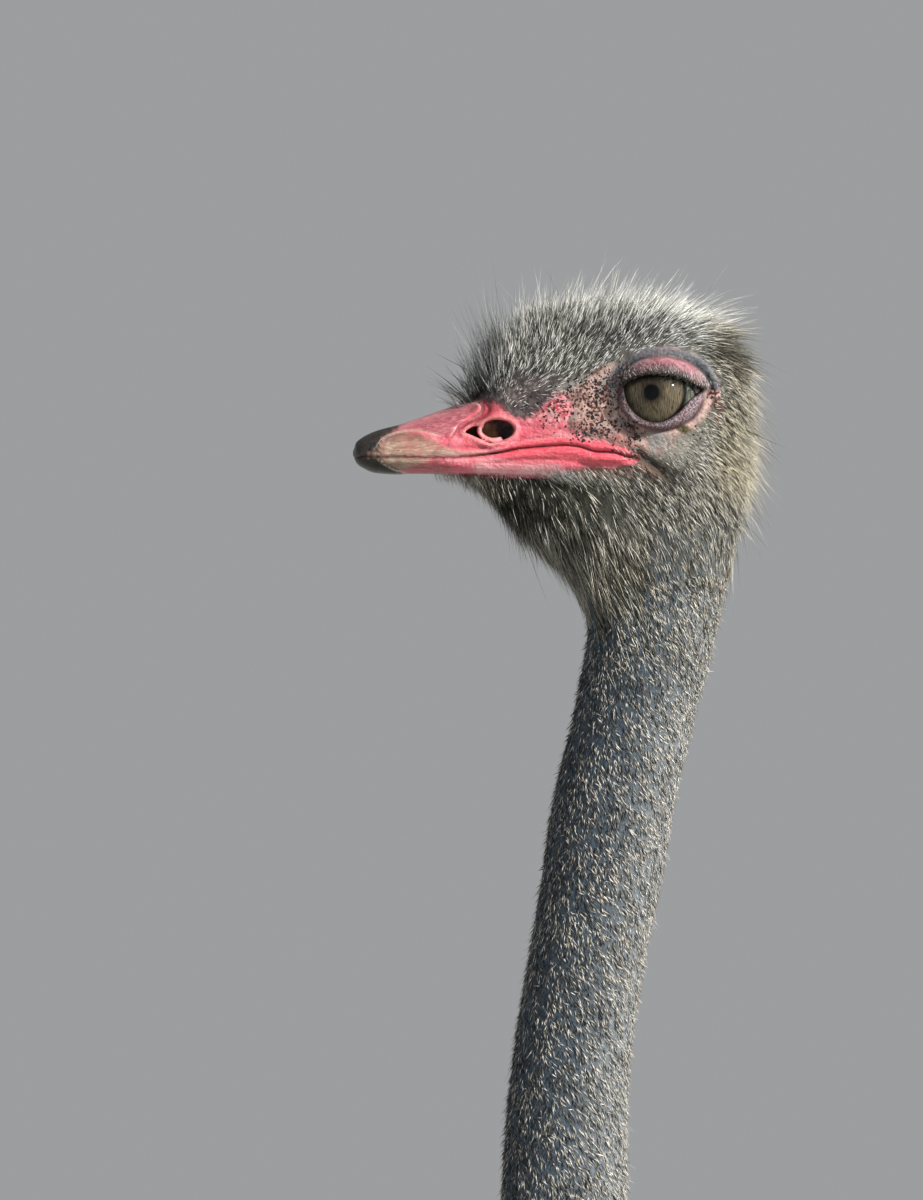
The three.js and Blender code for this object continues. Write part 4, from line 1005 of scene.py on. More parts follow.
def bill_colours(M, base):
    """The pink and horny colours, mixed over a base colour from the marking attributes."""
    c = srgb
    fine = M.noise(900, 5, 0.6)
    mid = M.noise(190, 4, 0.6)
    big = M.noise(55, 3)
    # streaks run along the bill and slant down to the front
    vec = M.mapping((1, 0.16, 1), (0.42, 0, 0))
    streak = M.noise(1250, 4, 0.62, vec=M.mapping((1, 0.07, 1), (0.42, 0, 0)))
    grain_ = M.noise(120, 4, 0.6, vec=vec)
    pink = M.mix(M.ramp(mid, 0.32, 0.66), c(214, 82, 100), c(252, 154, 166))
    pink = M.mix(M.ramp(grain_, 0.38, 0.64), pink, c(234, 116, 134))
    pink = M.mix(M.math("MULTIPLY", M.ramp(big, 0.45, 0.62), 0.6), pink, c(232, 108, 116))
    dusty = M.mix(M.ramp(streak, 0.35, 0.65), c(146, 72, 84), c(192, 124, 130))
    pink = M.mix(M.math("MULTIPLY", M.attr("dusty"), 0.85), pink, dusty)
    pink = M.mix(M.math("MULTIPLY", M.attr("brown"), 0.85), pink, M.mix(M.ramp(streak, 0.35, 0.65), c(120, 58, 52), c(186, 108, 98)))
    # pale streaks along the grain: painted highlights
    pink = M.mix(M.math("MULTIPLY", M.ramp(streak, 0.54, 0.70), 0.26), pink, c(242, 180, 178))
    pink = M.mix(M.math("MULTIPLY", M.ramp(fine, 0.55, 0.75), 0.4), pink, c(160, 58, 70))
    # pale pink of the painted highlights, and the nostril flap's own pale pink
    pink = M.mix(M.attr("light"), pink, M.mix(M.ramp(mid, 0.3, 0.7), c(246, 160, 168), c(255, 204, 204)))
    # darker crimson: painted shade in the grooves, and a crimson spot
    pink = M.mix(M.attr("crim"), pink, M.mix(M.ramp(mid, 0.3, 0.7), c(140, 34, 52), c(188, 66, 80)))
    pap = M.voronoi(700)
    papc = M.mix(M.ramp(pap, 0.15, 0.55), c(244, 168, 168), c(168, 56, 72))
    papc = M.mix(M.ramp(M.noise(300, 3), 0.42, 0.62), papc, c(216, 168, 166))
    pink = M.mix(M.math("MULTIPLY", M.attr("pap"), 0.85), pink, papc)
    ragged = M.math("ADD", M.math("MULTIPLY", M.math("SUBTRACT", mid, 0.5), 0.8), M.math("MULTIPLY", M.math("SUBTRACT", fine, 0.5), 0.9))
    edge = M.ramp(M.math("ADD", M.attr("pink"), ragged), 0.28, 0.72)
    col = M.mix(edge, base, pink)
    lip = M.mix(M.ramp(streak, 0.35, 0.7), c(236, 88, 104), c(250, 120, 132))
    lip = M.mix(M.math("MULTIPLY", M.ramp(mid, 0.5, 0.75), 0.5), lip, c(203, 66, 82))
    col = M.mix(M.math("MULTIPLY", M.attr("lip"), 0.92), col, lip)
    # pale pink on the nostril's rim: painted highlight
    col = M.mix(M.math("MULTIPLY", M.attr("rim"), 0.55), col, c(246, 172, 168))
    patch = M.mix(M.ramp(mid, 0.35, 0.65), c(46, 40, 44), c(98, 86, 84))
    patch = M.mix(M.ramp(M.noise(480, 2), 0.56, 0.64, 0.0, 0.5), patch, c(150, 142, 132))
    ground = M.math("ADD", M.attr("patch"), ragged)
    patch = M.mix(M.ramp(ground, 0.4, 0.8), c(72, 58, 62), patch)
    col = M.mix(M.ramp(ground, 0.1, 0.5), col, patch)
    cream = M.mix(M.ramp(mid, 0.3, 0.7), c(168, 150, 128), c(204, 190, 166))
    # grey-brown towards the top, the horn's own colour; the bright cream below it is partly a painted highlight
    cream = M.mix(M.math("MULTIPLY", M.attr("creamtop"), 0.85), cream, M.mix(M.ramp(mid, 0.3, 0.7), c(112, 94, 84), c(158, 132, 118)))
    cream = M.mix(M.ramp(streak, 0.40, 0.66, 0.45, 0.0), cream, c(104, 84, 70))
    cream = M.mix(M.math("MULTIPLY", M.ramp(M.noise(420, 4, 0.65, vec=vec), 0.54, 0.62), 0.55), cream, c(96, 74, 62))
    cream = M.mix(M.math("MULTIPLY", M.ramp(big, 0.40, 0.62), 0.35), cream, c(190, 118, 112))
    edge = M.ramp(M.math("ADD", M.attr("cream"), M.math("ADD", M.math("MULTIPLY", M.math("SUBTRACT", streak, 0.5), 0.45), M.math("MULTIPLY", M.math("SUBTRACT", mid, 0.5), 0.4))), 0.18, 0.74)
    col = M.mix(M.math("MULTIPLY", edge, 0.9), col, cream)
    nail = M.mix(M.ramp(streak, 0.35, 0.7), c(24, 24, 26), c(70, 68, 68))
    nail = M.mix(M.math("MULTIPLY", M.ramp(mid, 0.42, 0.66), 0.75), nail, c(70, 54, 40))
    nail = M.mix(M.math("MULTIPLY", M.attr("brown"), 1.35, clamp=True), nail, M.mix(M.ramp(streak, 0.4, 0.7), c(14, 17, 8), c(40, 38, 22)))
    nail = M.mix(M.ramp(M.attr("nail"), 0.85, 0.45, 0.0, 0.7), nail, c(112, 88, 80))
    edge = M.ramp(M.math("ADD", M.attr("nail"), M.math("MULTIPLY", M.math("SUBTRACT", mid, 0.5), 0.7)), 0.18, 0.75)
    col = M.mix(edge, col, nail)
    col = M.mix(M.math("MULTIPLY", M.attr("pale"), M.ramp(fine, 0.3, 0.6, 0.5, 0.9)), col, c(226, 206, 188))
    return col, fine, mid, streak


def skin_material():
    c = srgb
    M = Mat("skin")
    mid, fine = M.noise(160, 4), M.noise(700, 5, 0.62)
    # skin under the hair: kept dark partly as painted shade between the hairs; under the jaw darker still, painted
    # shade
    feathered = M.mix(M.ramp(mid, 0.35, 0.65), c(54, 54, 50), c(92, 90, 82))
    feathered = M.mix(M.attr("throat"), feathered, M.mix(M.ramp(mid, 0.3, 0.7), c(20, 27, 15), c(48, 54, 38)))
    feathered = M.mix(M.attr("cheek"), feathered, M.mix(M.ramp(fine, 0.3, 0.7), c(112, 108, 98), c(160, 156, 146)))
    neck = M.mix(M.ramp(fine, 0.3, 0.7), c(44, 56, 66), c(78, 92, 104))
    neck = M.mix(M.math("MULTIPLY", M.ramp(mid, 0.45, 0.7), 0.5), neck, c(70, 84, 98))
    # rear of the neck painted lighter: painted light on the side the lamps face
    neck = M.mix(M.math("MULTIPLY", M.attr("neck_rear_painted_light"), 0.6), neck, c(140, 144, 144))
    col = M.mix(M.attr("neck"), feathered, neck)
    face = M.mix(M.ramp(mid, 0.35, 0.66), c(168, 130, 122), c(228, 192, 180))
    face = M.mix(M.math("MULTIPLY", M.ramp(M.noise(420, 3), 0.5, 0.62), 0.6), face, c(82, 64, 60))
    face = M.mix(M.ramp(M.noise(75, 3), 0.4, 0.62), face, c(160, 154, 150))
    face = M.mix(M.math("MULTIPLY", M.attr("overgape"), 0.7), face, M.mix(M.ramp(fine, 0.35, 0.7), c(150, 84, 80), c(216, 146, 136)))
    col = M.mix(M.attr("face"), col, face)
    col = M.mix(M.math("MULTIPLY", M.attr("gape"), 0.8), col, c(196, 138, 118))
    col, f2, m2, streak = bill_colours(M, col)
    brow = M.mix(M.ramp(fine, 0.3, 0.7), c(50, 58, 64), c(104, 110, 116))
    brow = M.mix(M.math("MULTIPLY", M.attr("browpink"), 0.18), brow, c(140, 104, 110))
    col = M.mix(M.attr("brow"), col, brow)
    lid = M.mix(M.ramp(M.noise(1300, 3), 0.4, 0.62), c(72, 58, 62), c(166, 148, 156))
    lid = M.mix(M.math("MULTIPLY", M.ramp(mid, 0.5, 0.68), 0.5), lid, c(130, 76, 72))
    lid = M.mix(M.math("MULTIPLY", M.attr("lidtop"), 0.85), lid, M.mix(M.ramp(mid, 0.35, 0.65), c(150, 82, 92), c(174, 130, 138)))
    lid = M.mix(M.math("MULTIPLY", M.attr("lowshade"), 0.7), lid, c(82, 50, 48))
    lid = M.mix(M.math("MULTIPLY", M.attr("lash"), M.ramp(M.noise(900, 2, vec=M.mapping((1, 1, 0.25))), 0.42, 0.58, 0.55, 1.0)), lid, c(44, 34, 26))
    lid = M.mix(M.attr("margin"), lid, c(30, 24, 22))
    col = M.mix(M.attr("lid"), col, lid)
    # specks: dark and rusty grains among pale flakes, each a cell of its own
    warp = M.node("ShaderNodeTexNoise")
    M.put(warp.inputs["Vector"], M.obj())
    warp.inputs["Scale"].default_value = 900
    shift = M.node("ShaderNodeVectorMath", operation="MULTIPLY_ADD")
    M.put(shift.inputs[0], warp.outputs["Color"])
    shift.inputs[1].default_value = (0.0017, 0.0017, 0.0017)
    M.put(shift.inputs[2], M.obj())

    def dots(scale, share, size):
        v = M.node("ShaderNodeTexVoronoi", feature="F1")
        M.put(v.inputs["Vector"], shift.outputs[0])
        v.inputs["Scale"].default_value = scale
        s = M.node("ShaderNodeSeparateColor")
        M.put(s.inputs[0], v.outputs["Color"])
        return M.math("MULTIPLY", M.math("LESS_THAN", s.outputs[0], share), M.ramp(v.outputs["Distance"], size, size * 0.72)), s.outputs[1]

    speck = M.math("MULTIPLY", M.attr("speck"), M.ramp(M.noise(130, 2), 0.35, 0.6, 0.35, 1.0))
    flake, _ = dots(900, M.math("MULTIPLY", M.attr("speck"), 0.36), 0.5)
    col = M.mix(M.math("MULTIPLY", flake, 0.5), col, c(206, 186, 170))
    g1, pick1 = dots(520, M.math("MULTIPLY", speck, 0.86), 0.52)
    g2, pick2 = dots(900, M.math("MULTIPLY", speck, 0.92), 0.58)
    grain = M.math("MAXIMUM", g1, g2)
    dark_ = M.mix(M.math("GREATER_THAN", pick1, 0.62), c(26, 20, 22), c(84, 42, 34))
    col = M.mix(grain, col, M.mix(M.attr("redspot"), dark_, c(84, 20, 24)))
    col = M.mix(M.attr("wart"), col, M.mix(M.ramp(fine, 0.4, 0.6), c(48, 42, 26), c(104, 92, 56)))
    # furrow: dark olive-brown, painted shade in the fold behind the gape
    col = M.mix(M.math("MULTIPLY", M.attr("furrow"), 0.9), col, M.mix(M.ramp(fine, 0.35, 0.65), c(32, 26, 20), c(66, 54, 42)))
    col = M.mix(M.math("MULTIPLY", M.attr("dark"), 0.85), col, c(50, 18, 18))
    # nostril pocket: near black as painted shade; the beige-olive within it is its own colour
    hole = M.mix(M.attr("olive"), c(20, 6, 5), M.mix(M.ramp(mid, 0.3, 0.7), c(104, 90, 60), c(176, 148, 112)))
    col = M.mix(M.attr("hole"), col, hole)
    # body: black skin under the plumes, bare thighs, scaled legs with red plates in front
    col = M.mix(M.attr("body"), col, M.mix(M.ramp(mid, 0.3, 0.7), c(5, 5, 6), c(15, 14, 15)))
    thigh = M.mix(M.ramp(M.noise(28, 5, 0.6), 0.35, 0.68), c(150, 118, 112), c(184, 158, 148))
    thigh = M.mix(M.math("MULTIPLY", M.ramp(M.voronoi(210, "DISTANCE_TO_EDGE"), 0.02, 0.16), -0.35), thigh, thigh)
    goose = M.voronoi(170)
    thigh = M.mix(M.ramp(goose, 0.28, 0.1, 0.0, 0.55), thigh, c(120, 92, 88))
    col = M.mix(M.attr("thigh"), col, thigh)
    tile = M.voronoi(210, "DISTANCE_TO_EDGE", vec=M.mapping((1, 1, 0.8)))
    shank = M.mix(M.ramp(M.noise(40, 4), 0.35, 0.65), c(122, 102, 96), c(164, 146, 136))
    shank = M.mix(M.ramp(tile, 0.10, 0.03, 0.0, 0.75), shank, c(74, 60, 56))
    col = M.mix(M.attr("shank"), col, shank)
    plate = M.mix(M.ramp(M.noise(60, 5, 0.65), 0.3, 0.7), c(168, 70, 62), c(206, 112, 98))
    plate = M.mix(M.attr("groove"), plate, c(92, 44, 40))
    plate = M.mix(M.math("MULTIPLY", M.ramp(M.noise(340, 4, 0.7, vec=M.mapping((1, 1, 0.3))), 0.5, 0.75), 0.4), plate, c(214, 168, 150))
    col = M.mix(M.attr("plate"), col, plate)
    dust = M.math("MULTIPLY", M.attr("dust"), M.ramp(M.noise(35, 4, 0.7), 0.3, 0.7, 0.2, 0.8))
    col = M.mix(dust, col, c(150, 134, 112))
    # gloss: horn and lips shine, feathered skin doesn't
    shine = M.math("MAXIMUM", M.attr("cream"), M.math("MAXIMUM", M.attr("nail"), M.attr("lip")))
    rough = M.math("SUBTRACT", M.ramp(fine, 0.3, 0.8, 0.66, 0.8), M.math("MULTIPLY", M.attr("pink"), 0.32))
    rough = M.math("SUBTRACT", rough, M.math("MULTIPLY", shine, 0.18))
    skinny = M.math("SUBTRACT", 1.0, M.math("MAXIMUM", M.attr("nail"), M.attr("cream")))
    bump = M.bump(M.math("MULTIPLY", M.voronoi(900, "SMOOTH_F1"), skinny), 0.0005, 0.55)
    ridges = M.noise(150, 4, 0.6, vec=M.mapping((1, 0.2, 1), (0.35, 0, 0)))
    bump = M.bump(M.math("MULTIPLY", ridges, M.attr("pink")), 0.0022, 0.8, bump)
    bump = M.bump(M.noise(420, 5, 0.65), 0.0006, 0.6, bump)
    bump = M.bump(M.math("MULTIPLY", grain, 1.0), 0.0005, 0.8, bump)
    bump = M.bump(M.math("MULTIPLY", M.ramp(tile, 0.0, 0.14), M.attr("shank")), 0.0011, 0.8, bump)
    bump = M.bump(M.math("MULTIPLY", M.ramp(goose, 0.45, 0.05), M.attr("thigh")), 0.0016, 0.6, bump)
    M.set(Base_Color=col, Roughness=rough, Normal=bump, Specular_IOR_Level=M.math("SUBTRACT", M.math("SUBTRACT", 0.42, M.math("MULTIPLY", M.math("MULTIPLY", M.attr("brown"), M.attr("nail")), 0.30)), M.math("MULTIPLY", M.attr("body"), 0.38)))
    M.set(Subsurface_Weight=0.06, Subsurface_Radius=(0.006, 0.002, 0.0012), Subsurface_Scale=0.5)
    return M


Vs = coords(skin).astype(float)
A_, X_, H_ = from_world(Vs)
zero = np.zeros(len(Vs), F)
marks = {}
on_head = H_ > -130
hm = head_marks(A_[on_head], X_[on_head], H_[on_head])
for key, val in hm.items():
    marks[key] = zero.copy()
    marks[key][on_head] = val
Zw = Vs[:, 2]


def point_up(v, f):
    """Directions of the surface at its points."""
    n = np.zeros_like(v)
    fn = np.cross(v[f[:, 1]] - v[f[:, 0]], v[f[:, 2]] - v[f[:, 0]])
    for k in range(3):
        for c_ in range(3):
            n[:, c_] += np.bincount(f[:, k], fn[:, c_], len(v))
    return n / np.maximum(np.linalg.norm(n, axis=1, keepdims=True), 1e-9)


def unwrap_skin(ob):
    """The skin's own map: head, throat, neck, body, legs and feet are islands; the head takes half of it."""
    P = Vs[Fc]
    C = P.mean(1)
    N = np.cross(P[:, 1] - P[:, 0], P[:, 2] - P[:, 0])
    out = np.full((len(Fc), 3, 2), 0.5)

    def turn(px_, py_, cx_, cy_):
        """Angles of the corners, kept on the same side of the seam as the face's middle."""
        ref = np.arctan2(cx_, cy_)[:, None]
        return ref + (np.arctan2(px_, py_) - ref + np.pi) % (2 * np.pi) - np.pi

    def lay(sel, u, v, box, ur, vr):
        u = (u - ur[0]) / (ur[1] - ur[0])
        v = (v - vr[0]) / (vr[1] - vr[0])
        out[sel, :, 0] = box[0] + (box[1] - box[0]) * np.clip(u, 0, 1)
        out[sel, :, 1] = box[2] + (box[3] - box[2]) * np.clip(v, 0, 1)

    full = (-np.pi - 0.12, np.pi + 0.12)
    a, x, h = (q.reshape(-1, 3) for q in from_world(P.reshape(-1, 3)))
    ca, cx, ch = from_world(C)
    head = C[:, 2] > EYE_Z - 126.6
    low = head & (ch < -52)
    up = head & ~low
    mid_h = lambda q: np.interp(q, [0, 50, 120, 190], [-28, -26, -8, -6])
    s = up
    r_ = np.hypot(x[s], h[s] - mid_h(a[s]))
    along = a[s] + 0.6 * r_ * sstep(32, 8, a[s]) - 0.6 * r_ * sstep(128, 165, a[s])
    lay(s, turn(x[s], h[s] - mid_h(a[s]), cx[s], ch[s] - mid_h(ca[s])), along, (0.005, 0.995, 0.43, 0.995), full, (-4, 192))
    s = low
    lay(s, turn(x[s], a[s] - 146, cx[s], ca[s] - 146), h[s], (0.005, 0.61, 0.31, 0.42), full, (-130, -49))
    rest = ~head
    neck = rest & (NECKNESS[Fc].mean(1) > 0.5)
    s = neck
    my = neck_mid_world(P[s][:, :, 2])
    lay(s, P[s][:, :, 2], turn(P[s][:, :, 0], P[s][:, :, 1] - my, C[s, 0], C[s, 1] - my.mean(1)), (0.005, 0.61, 0.20, 0.30), (1300, EYE_Z - 120), full)
    leg = rest & (C[:, 2] < 925) & (C[:, 2] >= 86)
    for side, v0 in ((1, 0.105), (-1, 0.005)):
        s = leg & (C[:, 0] * side > 0)
        lx, ly, _, _ = leg_at(side, np.clip(P[s][:, :, 2], 86, 1040))
        lay(s, P[s][:, :, 2], turn(P[s][:, :, 0] - lx, P[s][:, :, 1] - ly, C[s, 0] - lx.mean(1), C[s, 1] - ly.mean(1)), (0.005, 0.61, v0, v0 + 0.09), (80, 960), full)
        foot = rest & (C[:, 2] < 86) & (C[:, 0] * side > 0)
        under = foot & (N[:, 2] < 0)
        over = foot & ~under
        yr = (-60 - 250, -60 + 230)
        xr = (40 * side, 170 * side)
        lay(over, P[over][:, :, 1] - FOOT_Y - BODY + 60, P[over][:, :, 0], (0.63, 0.86, v0, v0 + 0.09), (-270, 110), xr)
        lay(under, P[under][:, :, 1] - FOOT_Y - BODY + 60, P[under][:, :, 0], (0.87, 0.995, v0, v0 + 0.09), (-270, 110), xr)
    body = rest & ~neck & (C[:, 2] >= 925)
    s = body
    lay(s, turn(P[s][:, :, 0], P[s][:, :, 2] - 1150, C[s, 0], C[s, 2] - 1150), P[s][:, :, 1] - 0.5 * np.hypot(P[s][:, :, 0], P[s][:, :, 2] - 1150) * np.sign(P[s][:, :, 1] - BODY), (0.63, 0.995, 0.20, 0.42), full, (-760, 700))
    layer = ob.data.uv_layers.new(name="OFBake")
    layer.data.foreach_set("uv", out.reshape(-1).astype(F))
    return out


def on_neck(p):
    """1 on the neck above the place where the black plumage starts."""
    z = np.clip(p[:, 2], 1216, 2200)
    off = (np.hypot(p[:, 0], p[:, 1] - neck_mid_world(z)) - neck_rad(z)[1]) * (p[:, 2] < 1650)
    edge = 1338 + 10 * np.sin(p[:, 0] * 0.09) * np.sin(p[:, 1] * 0.12)
    return sstep(edge - 14, edge + 14, p[:, 2]) * sstep(34, 12, off)


NECKNESS = on_neck(Vs)
marks["neck"] = (sstep(-62, -84, H_) * NECKNESS).astype(F)
marks["body"] = ((1 - NECKNESS) * sstep(905, 945, Zw)).astype(F)
marks["thigh"] = (sstep(945, 905, Zw) * sstep(520, 560, Zw)).astype(F)
marks["shank"] = (sstep(560, 520, Zw)).astype(F)
side_ = np.sign(Vs[:, 0])
fr = np.zeros(len(Vs))
gr = np.zeros(len(Vs))
for side in (1, -1):
    sel = (Zw < 560) & (side_ == side)
    lx, ly, rx, ry = leg_at(side, np.clip(Zw[sel], 40, 600))
    t = np.arctan2((Vs[sel, 1] - ly) / ry, (Vs[sel, 0] - lx) / rx)
    front = np.clip(-np.sin(t), 0, 1)
    shank_plate = sstep(0.45, 0.72, front) * sstep(52, 70, Zw[sel]) * sstep(500, 470, Zw[sel])
    shift = -STAGGER if side > 0 else STAGGER
    fx, fy = 96.0, FOOT_Y - 14 + shift + BODY
    best = np.zeros(sel.sum())
    grv = (1 - scute_wave(Zw[sel], 13.5)) * shank_plate
    for rows, x, y, deg, pitch in ((TOE_INNER, fx - 6, fy, 3, 10.5), (TOE_OUTER, fx + 16, fy - 4, 27, 8.0)):
        half, top = columns(rows)
        ang = math.radians(deg)
        u0, s0 = side * Vs[sel, 0] - x, -(Vs[sel, 1] - y)
        s, u = u0 * math.sin(ang) + s0 * math.cos(ang), u0 * math.cos(ang) - s0 * math.sin(ang)
        hs, ts = half(s), top(s)
        wide = np.minimum(16, ts * 0.42)
        over = sstep(0.3, 0.7, (Vs[sel, 2] - wide) / np.maximum(ts - wide, 4)) * sstep(hs * 1.0, hs * 0.72, np.abs(u))
        over *= (np.abs(u) < hs * 1.25) * (s > -10) * (s < rows[-1][0] + 6) * sstep(88, 68, Vs[sel, 2])
        best = np.maximum(best, over)
        grv = np.maximum(grv, over * (1 - scute_wave(s, pitch)))
    fr[sel] = np.maximum(shank_plate, best)
    gr[sel] = grv
marks["plate"], marks["groove"] = fr.astype(F), gr.astype(F)
marks["dust"] = (0.75 * sstep(60, 5, Zw)).astype(F)
# the neck's rear side, facing the lamps, is painted lighter: painted light
marks["neck_rear_painted_light"] = (NECKNESS * np.clip(point_up(Vs, Fc)[:, 1], 0, 1)).astype(F)
set_attrs(skin, marks)
SKIN_UV = unwrap_skin(skin)
dress(skin, skin_material(), "grey_down", "head", "neck_upper", "neck_middle_upper", "neck_middle_lower", "neck_base",
      "trunk", "drumstick_left", "drumstick_right", "shank_left", "shank_right", "toe_inner_left", "toe_inner_right",
      "toe_outer_left", "toe_outer_right")

# ---------------------------------------------------------------- horn of the bill: thin plates over the skin
HSTEP = 0.5


def horn_plate(name, node, region, box, lift):
    (a0, a1), x1, (h0, h1) = box
    pa, px, ph = np.arange(a0, a1, HSTEP, dtype=F), np.arange(0, x1, HSTEP, dtype=F), np.arange(h0, h1, HSTEP, dtype=F)
    A, X, H = pa[:, None, None], px[None, :, None], ph[None, None, :]
    d = head_field(A, X, H)
    zone = line_dist(A, H, region, True)
    f = np.maximum(np.maximum(d - lift * sstep(0.2, -1.6, zone), -(d + 1.1)), zone)
    f = np.concatenate([f[:, :0:-1, :], f], axis=1)
    v, q = polygonise(f, (pa[0], -px[-1], ph[0]), HSTEP)
    q = q[:, ::-1]
    v, q = biggest_part(v, q)
    w, q = thin_out(to_world(v), q, 0.45, name + "_dense")
    ob = make_mesh(name, w, q)
    a, x, h = from_world(w)
    set_attrs(ob, head_marks(a, x, h))
    M = Mat(name)
    col, fine, mid, streak = bill_colours(M, srgb(200, 100, 110) + (1,))
    col = M.mix(M.math("MULTIPLY", M.attr("dark"), 0.8), col, srgb(60, 26, 22))
    b = M.bump(streak, 0.0005, 0.35)
    b = M.bump(fine, 0.0003, 0.25, b)
    M.set(Base_Color=col, Roughness=M.ramp(fine, 0.3, 0.8, 0.30, 0.46), Normal=b, Specular_IOR_Level=0.5)
    dress(ob, M, "pink_bill", node)
    return ob


horn_plate("horn_upper", "upper_bill",
           [(-3, -27.6), (6.2, -27.6), (10.2, -25.0), (14.6, -19.2), (21.1, -16.6), (30.9, -15.6), (38.5, -17.2), (44.6, -19.3), (46.9, -18.8), (48.7, -15.8), (50.6, -13.0), (55.0, -10.0), (58.9, -8.0), (60.7, -5.7), (60.4, -3.4), (57.0, -1.2), (52, 1.0), (40, 2.0), (20, -4), (-3, -14)],
           ((-4, 64), 26, (-32, 4)), 0.42)
horn_plate("horn_lower", "lower_bill",
           [(-3, -28.4), (10.6, -28.6), (13.2, -30.3), (15.9, -32.2), (19.6, -34.4), (25.0, -36.0), (25.0, -40), (-3, -40)],
           ((-4, 28), 24, (-40, -26)), 0.35)

# ---------------------------------------------------------------- eyes
def eye(name, side):
    """Eyeball with a bulging cornea. Its axis leans a little forward and down the way the lids lie."""
    c = np.array([EYE_X * side, EYE_Y, EYE_Z])
    ax = np.array([side * 1.0, -0.16, 0.055])
    ax /= np.linalg.norm(ax)
    e1 = np.cross([0, 0, 1], ax)
    e1 /= np.linalg.norm(e1)
    e1 = e1 * (1 if side > 0 else -1)  # towards the rear on both sides
    e2 = np.cross(ax, e1) * (1 if side > 0 else -1)
    phi = np.concatenate([np.linspace(0, 52, 46), np.linspace(55, 180, 26)]) * math.pi / 180
    th = np.arange(72) / 72 * 2 * math.pi
    # the cornea is a tighter sphere that meets the eyeball at its rim
    R, RC, C = EYE_R - 0.12, 17.2, 3.0
    k = C * np.cos(phi) + np.sqrt(np.maximum(RC**2 - (C * np.sin(phi)) ** 2, 0))
    r = np.maximum(R, k)
    r = R + (r - R) * 0.9
    P, T = np.meshgrid(phi, th, indexing="ij")
    Rr = r[:, None]
    v = c + ax * (Rr * np.cos(P))[..., None] + (np.cos(T) * Rr * np.sin(P))[..., None] * e1 + (np.sin(T) * Rr * np.sin(P))[..., None] * e2
    n0, n1 = len(phi), len(th)
    idx = np.arange(n0 * n1).reshape(n0, n1)
    idx[0], idx[-1] = idx[0, 0], idx[-1, 0]
    q = np.stack([idx[:-1], idx[1:], np.roll(idx[1:], -1, 1), np.roll(idx[:-1], -1, 1)], -1).reshape(-1, 4)
    q = np.concatenate([q[:, [0, 1, 2]], q[:, [0, 2, 3]]])
    q = q[(q[:, 0] != q[:, 1]) & (q[:, 1] != q[:, 2]) & (q[:, 2] != q[:, 0])]
    kept, q = np.unique(q, return_inverse=True)
    v, q = v.reshape(-1, 3)[kept], q.reshape(-1, 3)
    if side < 0:
        q = q[:, ::-1]
    ob = make_mesh(name, v, q)
    rel = v - c
    set_attrs(ob, {"eu": rel @ e1, "ev": rel @ e2})
    M = Mat(name)
    cs = srgb
    u, w = M.math("ADD", M.attr("eu"), -0.2), M.math("ADD", M.attr("ev"), -0.8)
    rad = M.math("SQRT", M.math("ADD", M.math("MULTIPLY", u, u), M.math("MULTIPLY", w, w)))
    comb = M.node("ShaderNodeCombineXYZ")
    M.put(comb.inputs[0], u)
    M.put(comb.inputs[1], w)
    vec = M.mapping((0.9, 0.13, 1), (0, 0, -0.62), vec=comb.outputs[0])
    fibre = M.noise(2.2, 5, 0.65, vec=vec)
    soft = M.noise(0.35, 3, 0.5, vec=comb.outputs[0])
    iris = M.mix(M.ramp(fibre, 0.36, 0.62), cs(42, 37, 27), cs(112, 102, 80))
    iris = M.mix(M.ramp(soft, 0.4, 0.7, 0.0, 0.6), iris, cs(92, 84, 76))
    iris = M.mix(M.ramp(M.noise(6, 2, vec=comb.outputs[0]), 0.56, 0.75, 0.0, 0.4), iris, cs(124, 114, 98))
    # darker towards the pupil, and darker under the upper lid: the lid's painted shadow
    iris = M.mix(M.ramp(rad, 8.5, 3.4, 0.0, 0.8), iris, cs(34, 26, 18))
    iris = M.mix(M.ramp(M.attr("ev"), 2.0, 8.5, 0.0, 0.84), iris, cs(18, 19, 21))
    ur = M.math("SQRT", M.math("ADD", M.math("MULTIPLY", M.attr("eu"), M.attr("eu")), M.math("MULTIPLY", M.math("ADD", M.attr("ev"), -1.2), M.math("ADD", M.attr("ev"), -1.2))))
    ring = M.ramp(ur, 13.6, 14.8)
    iris = M.mix(ring, iris, cs(26, 22, 22))
    iris = M.mix(M.ramp(ur, 15.4, 16.4), iris, M.mix(M.ramp(fibre, 0.4, 0.6), cs(58, 60, 54), cs(116, 122, 110)))
    col = M.mix(M.ramp(M.math("ADD", rad, M.math("MULTIPLY", fibre, 1.3)), 5.1, 3.9), iris, cs(3, 6, 9))
    M.set(Base_Color=col, Roughness=0.5, Coat_Weight=0.5, Coat_Roughness=0.025, Coat_IOR=1.376, Specular_IOR_Level=0.05)
    dress(ob, M, "eye", name)
    return ob


eye("eye_left", 1)
eye("eye_right", -1)

# ---------------------------------------------------------------- coat: solid tapered strands
def unit(v):
    return v / np.maximum(np.linalg.norm(v, axis=-1, keepdims=True), 1e-9)


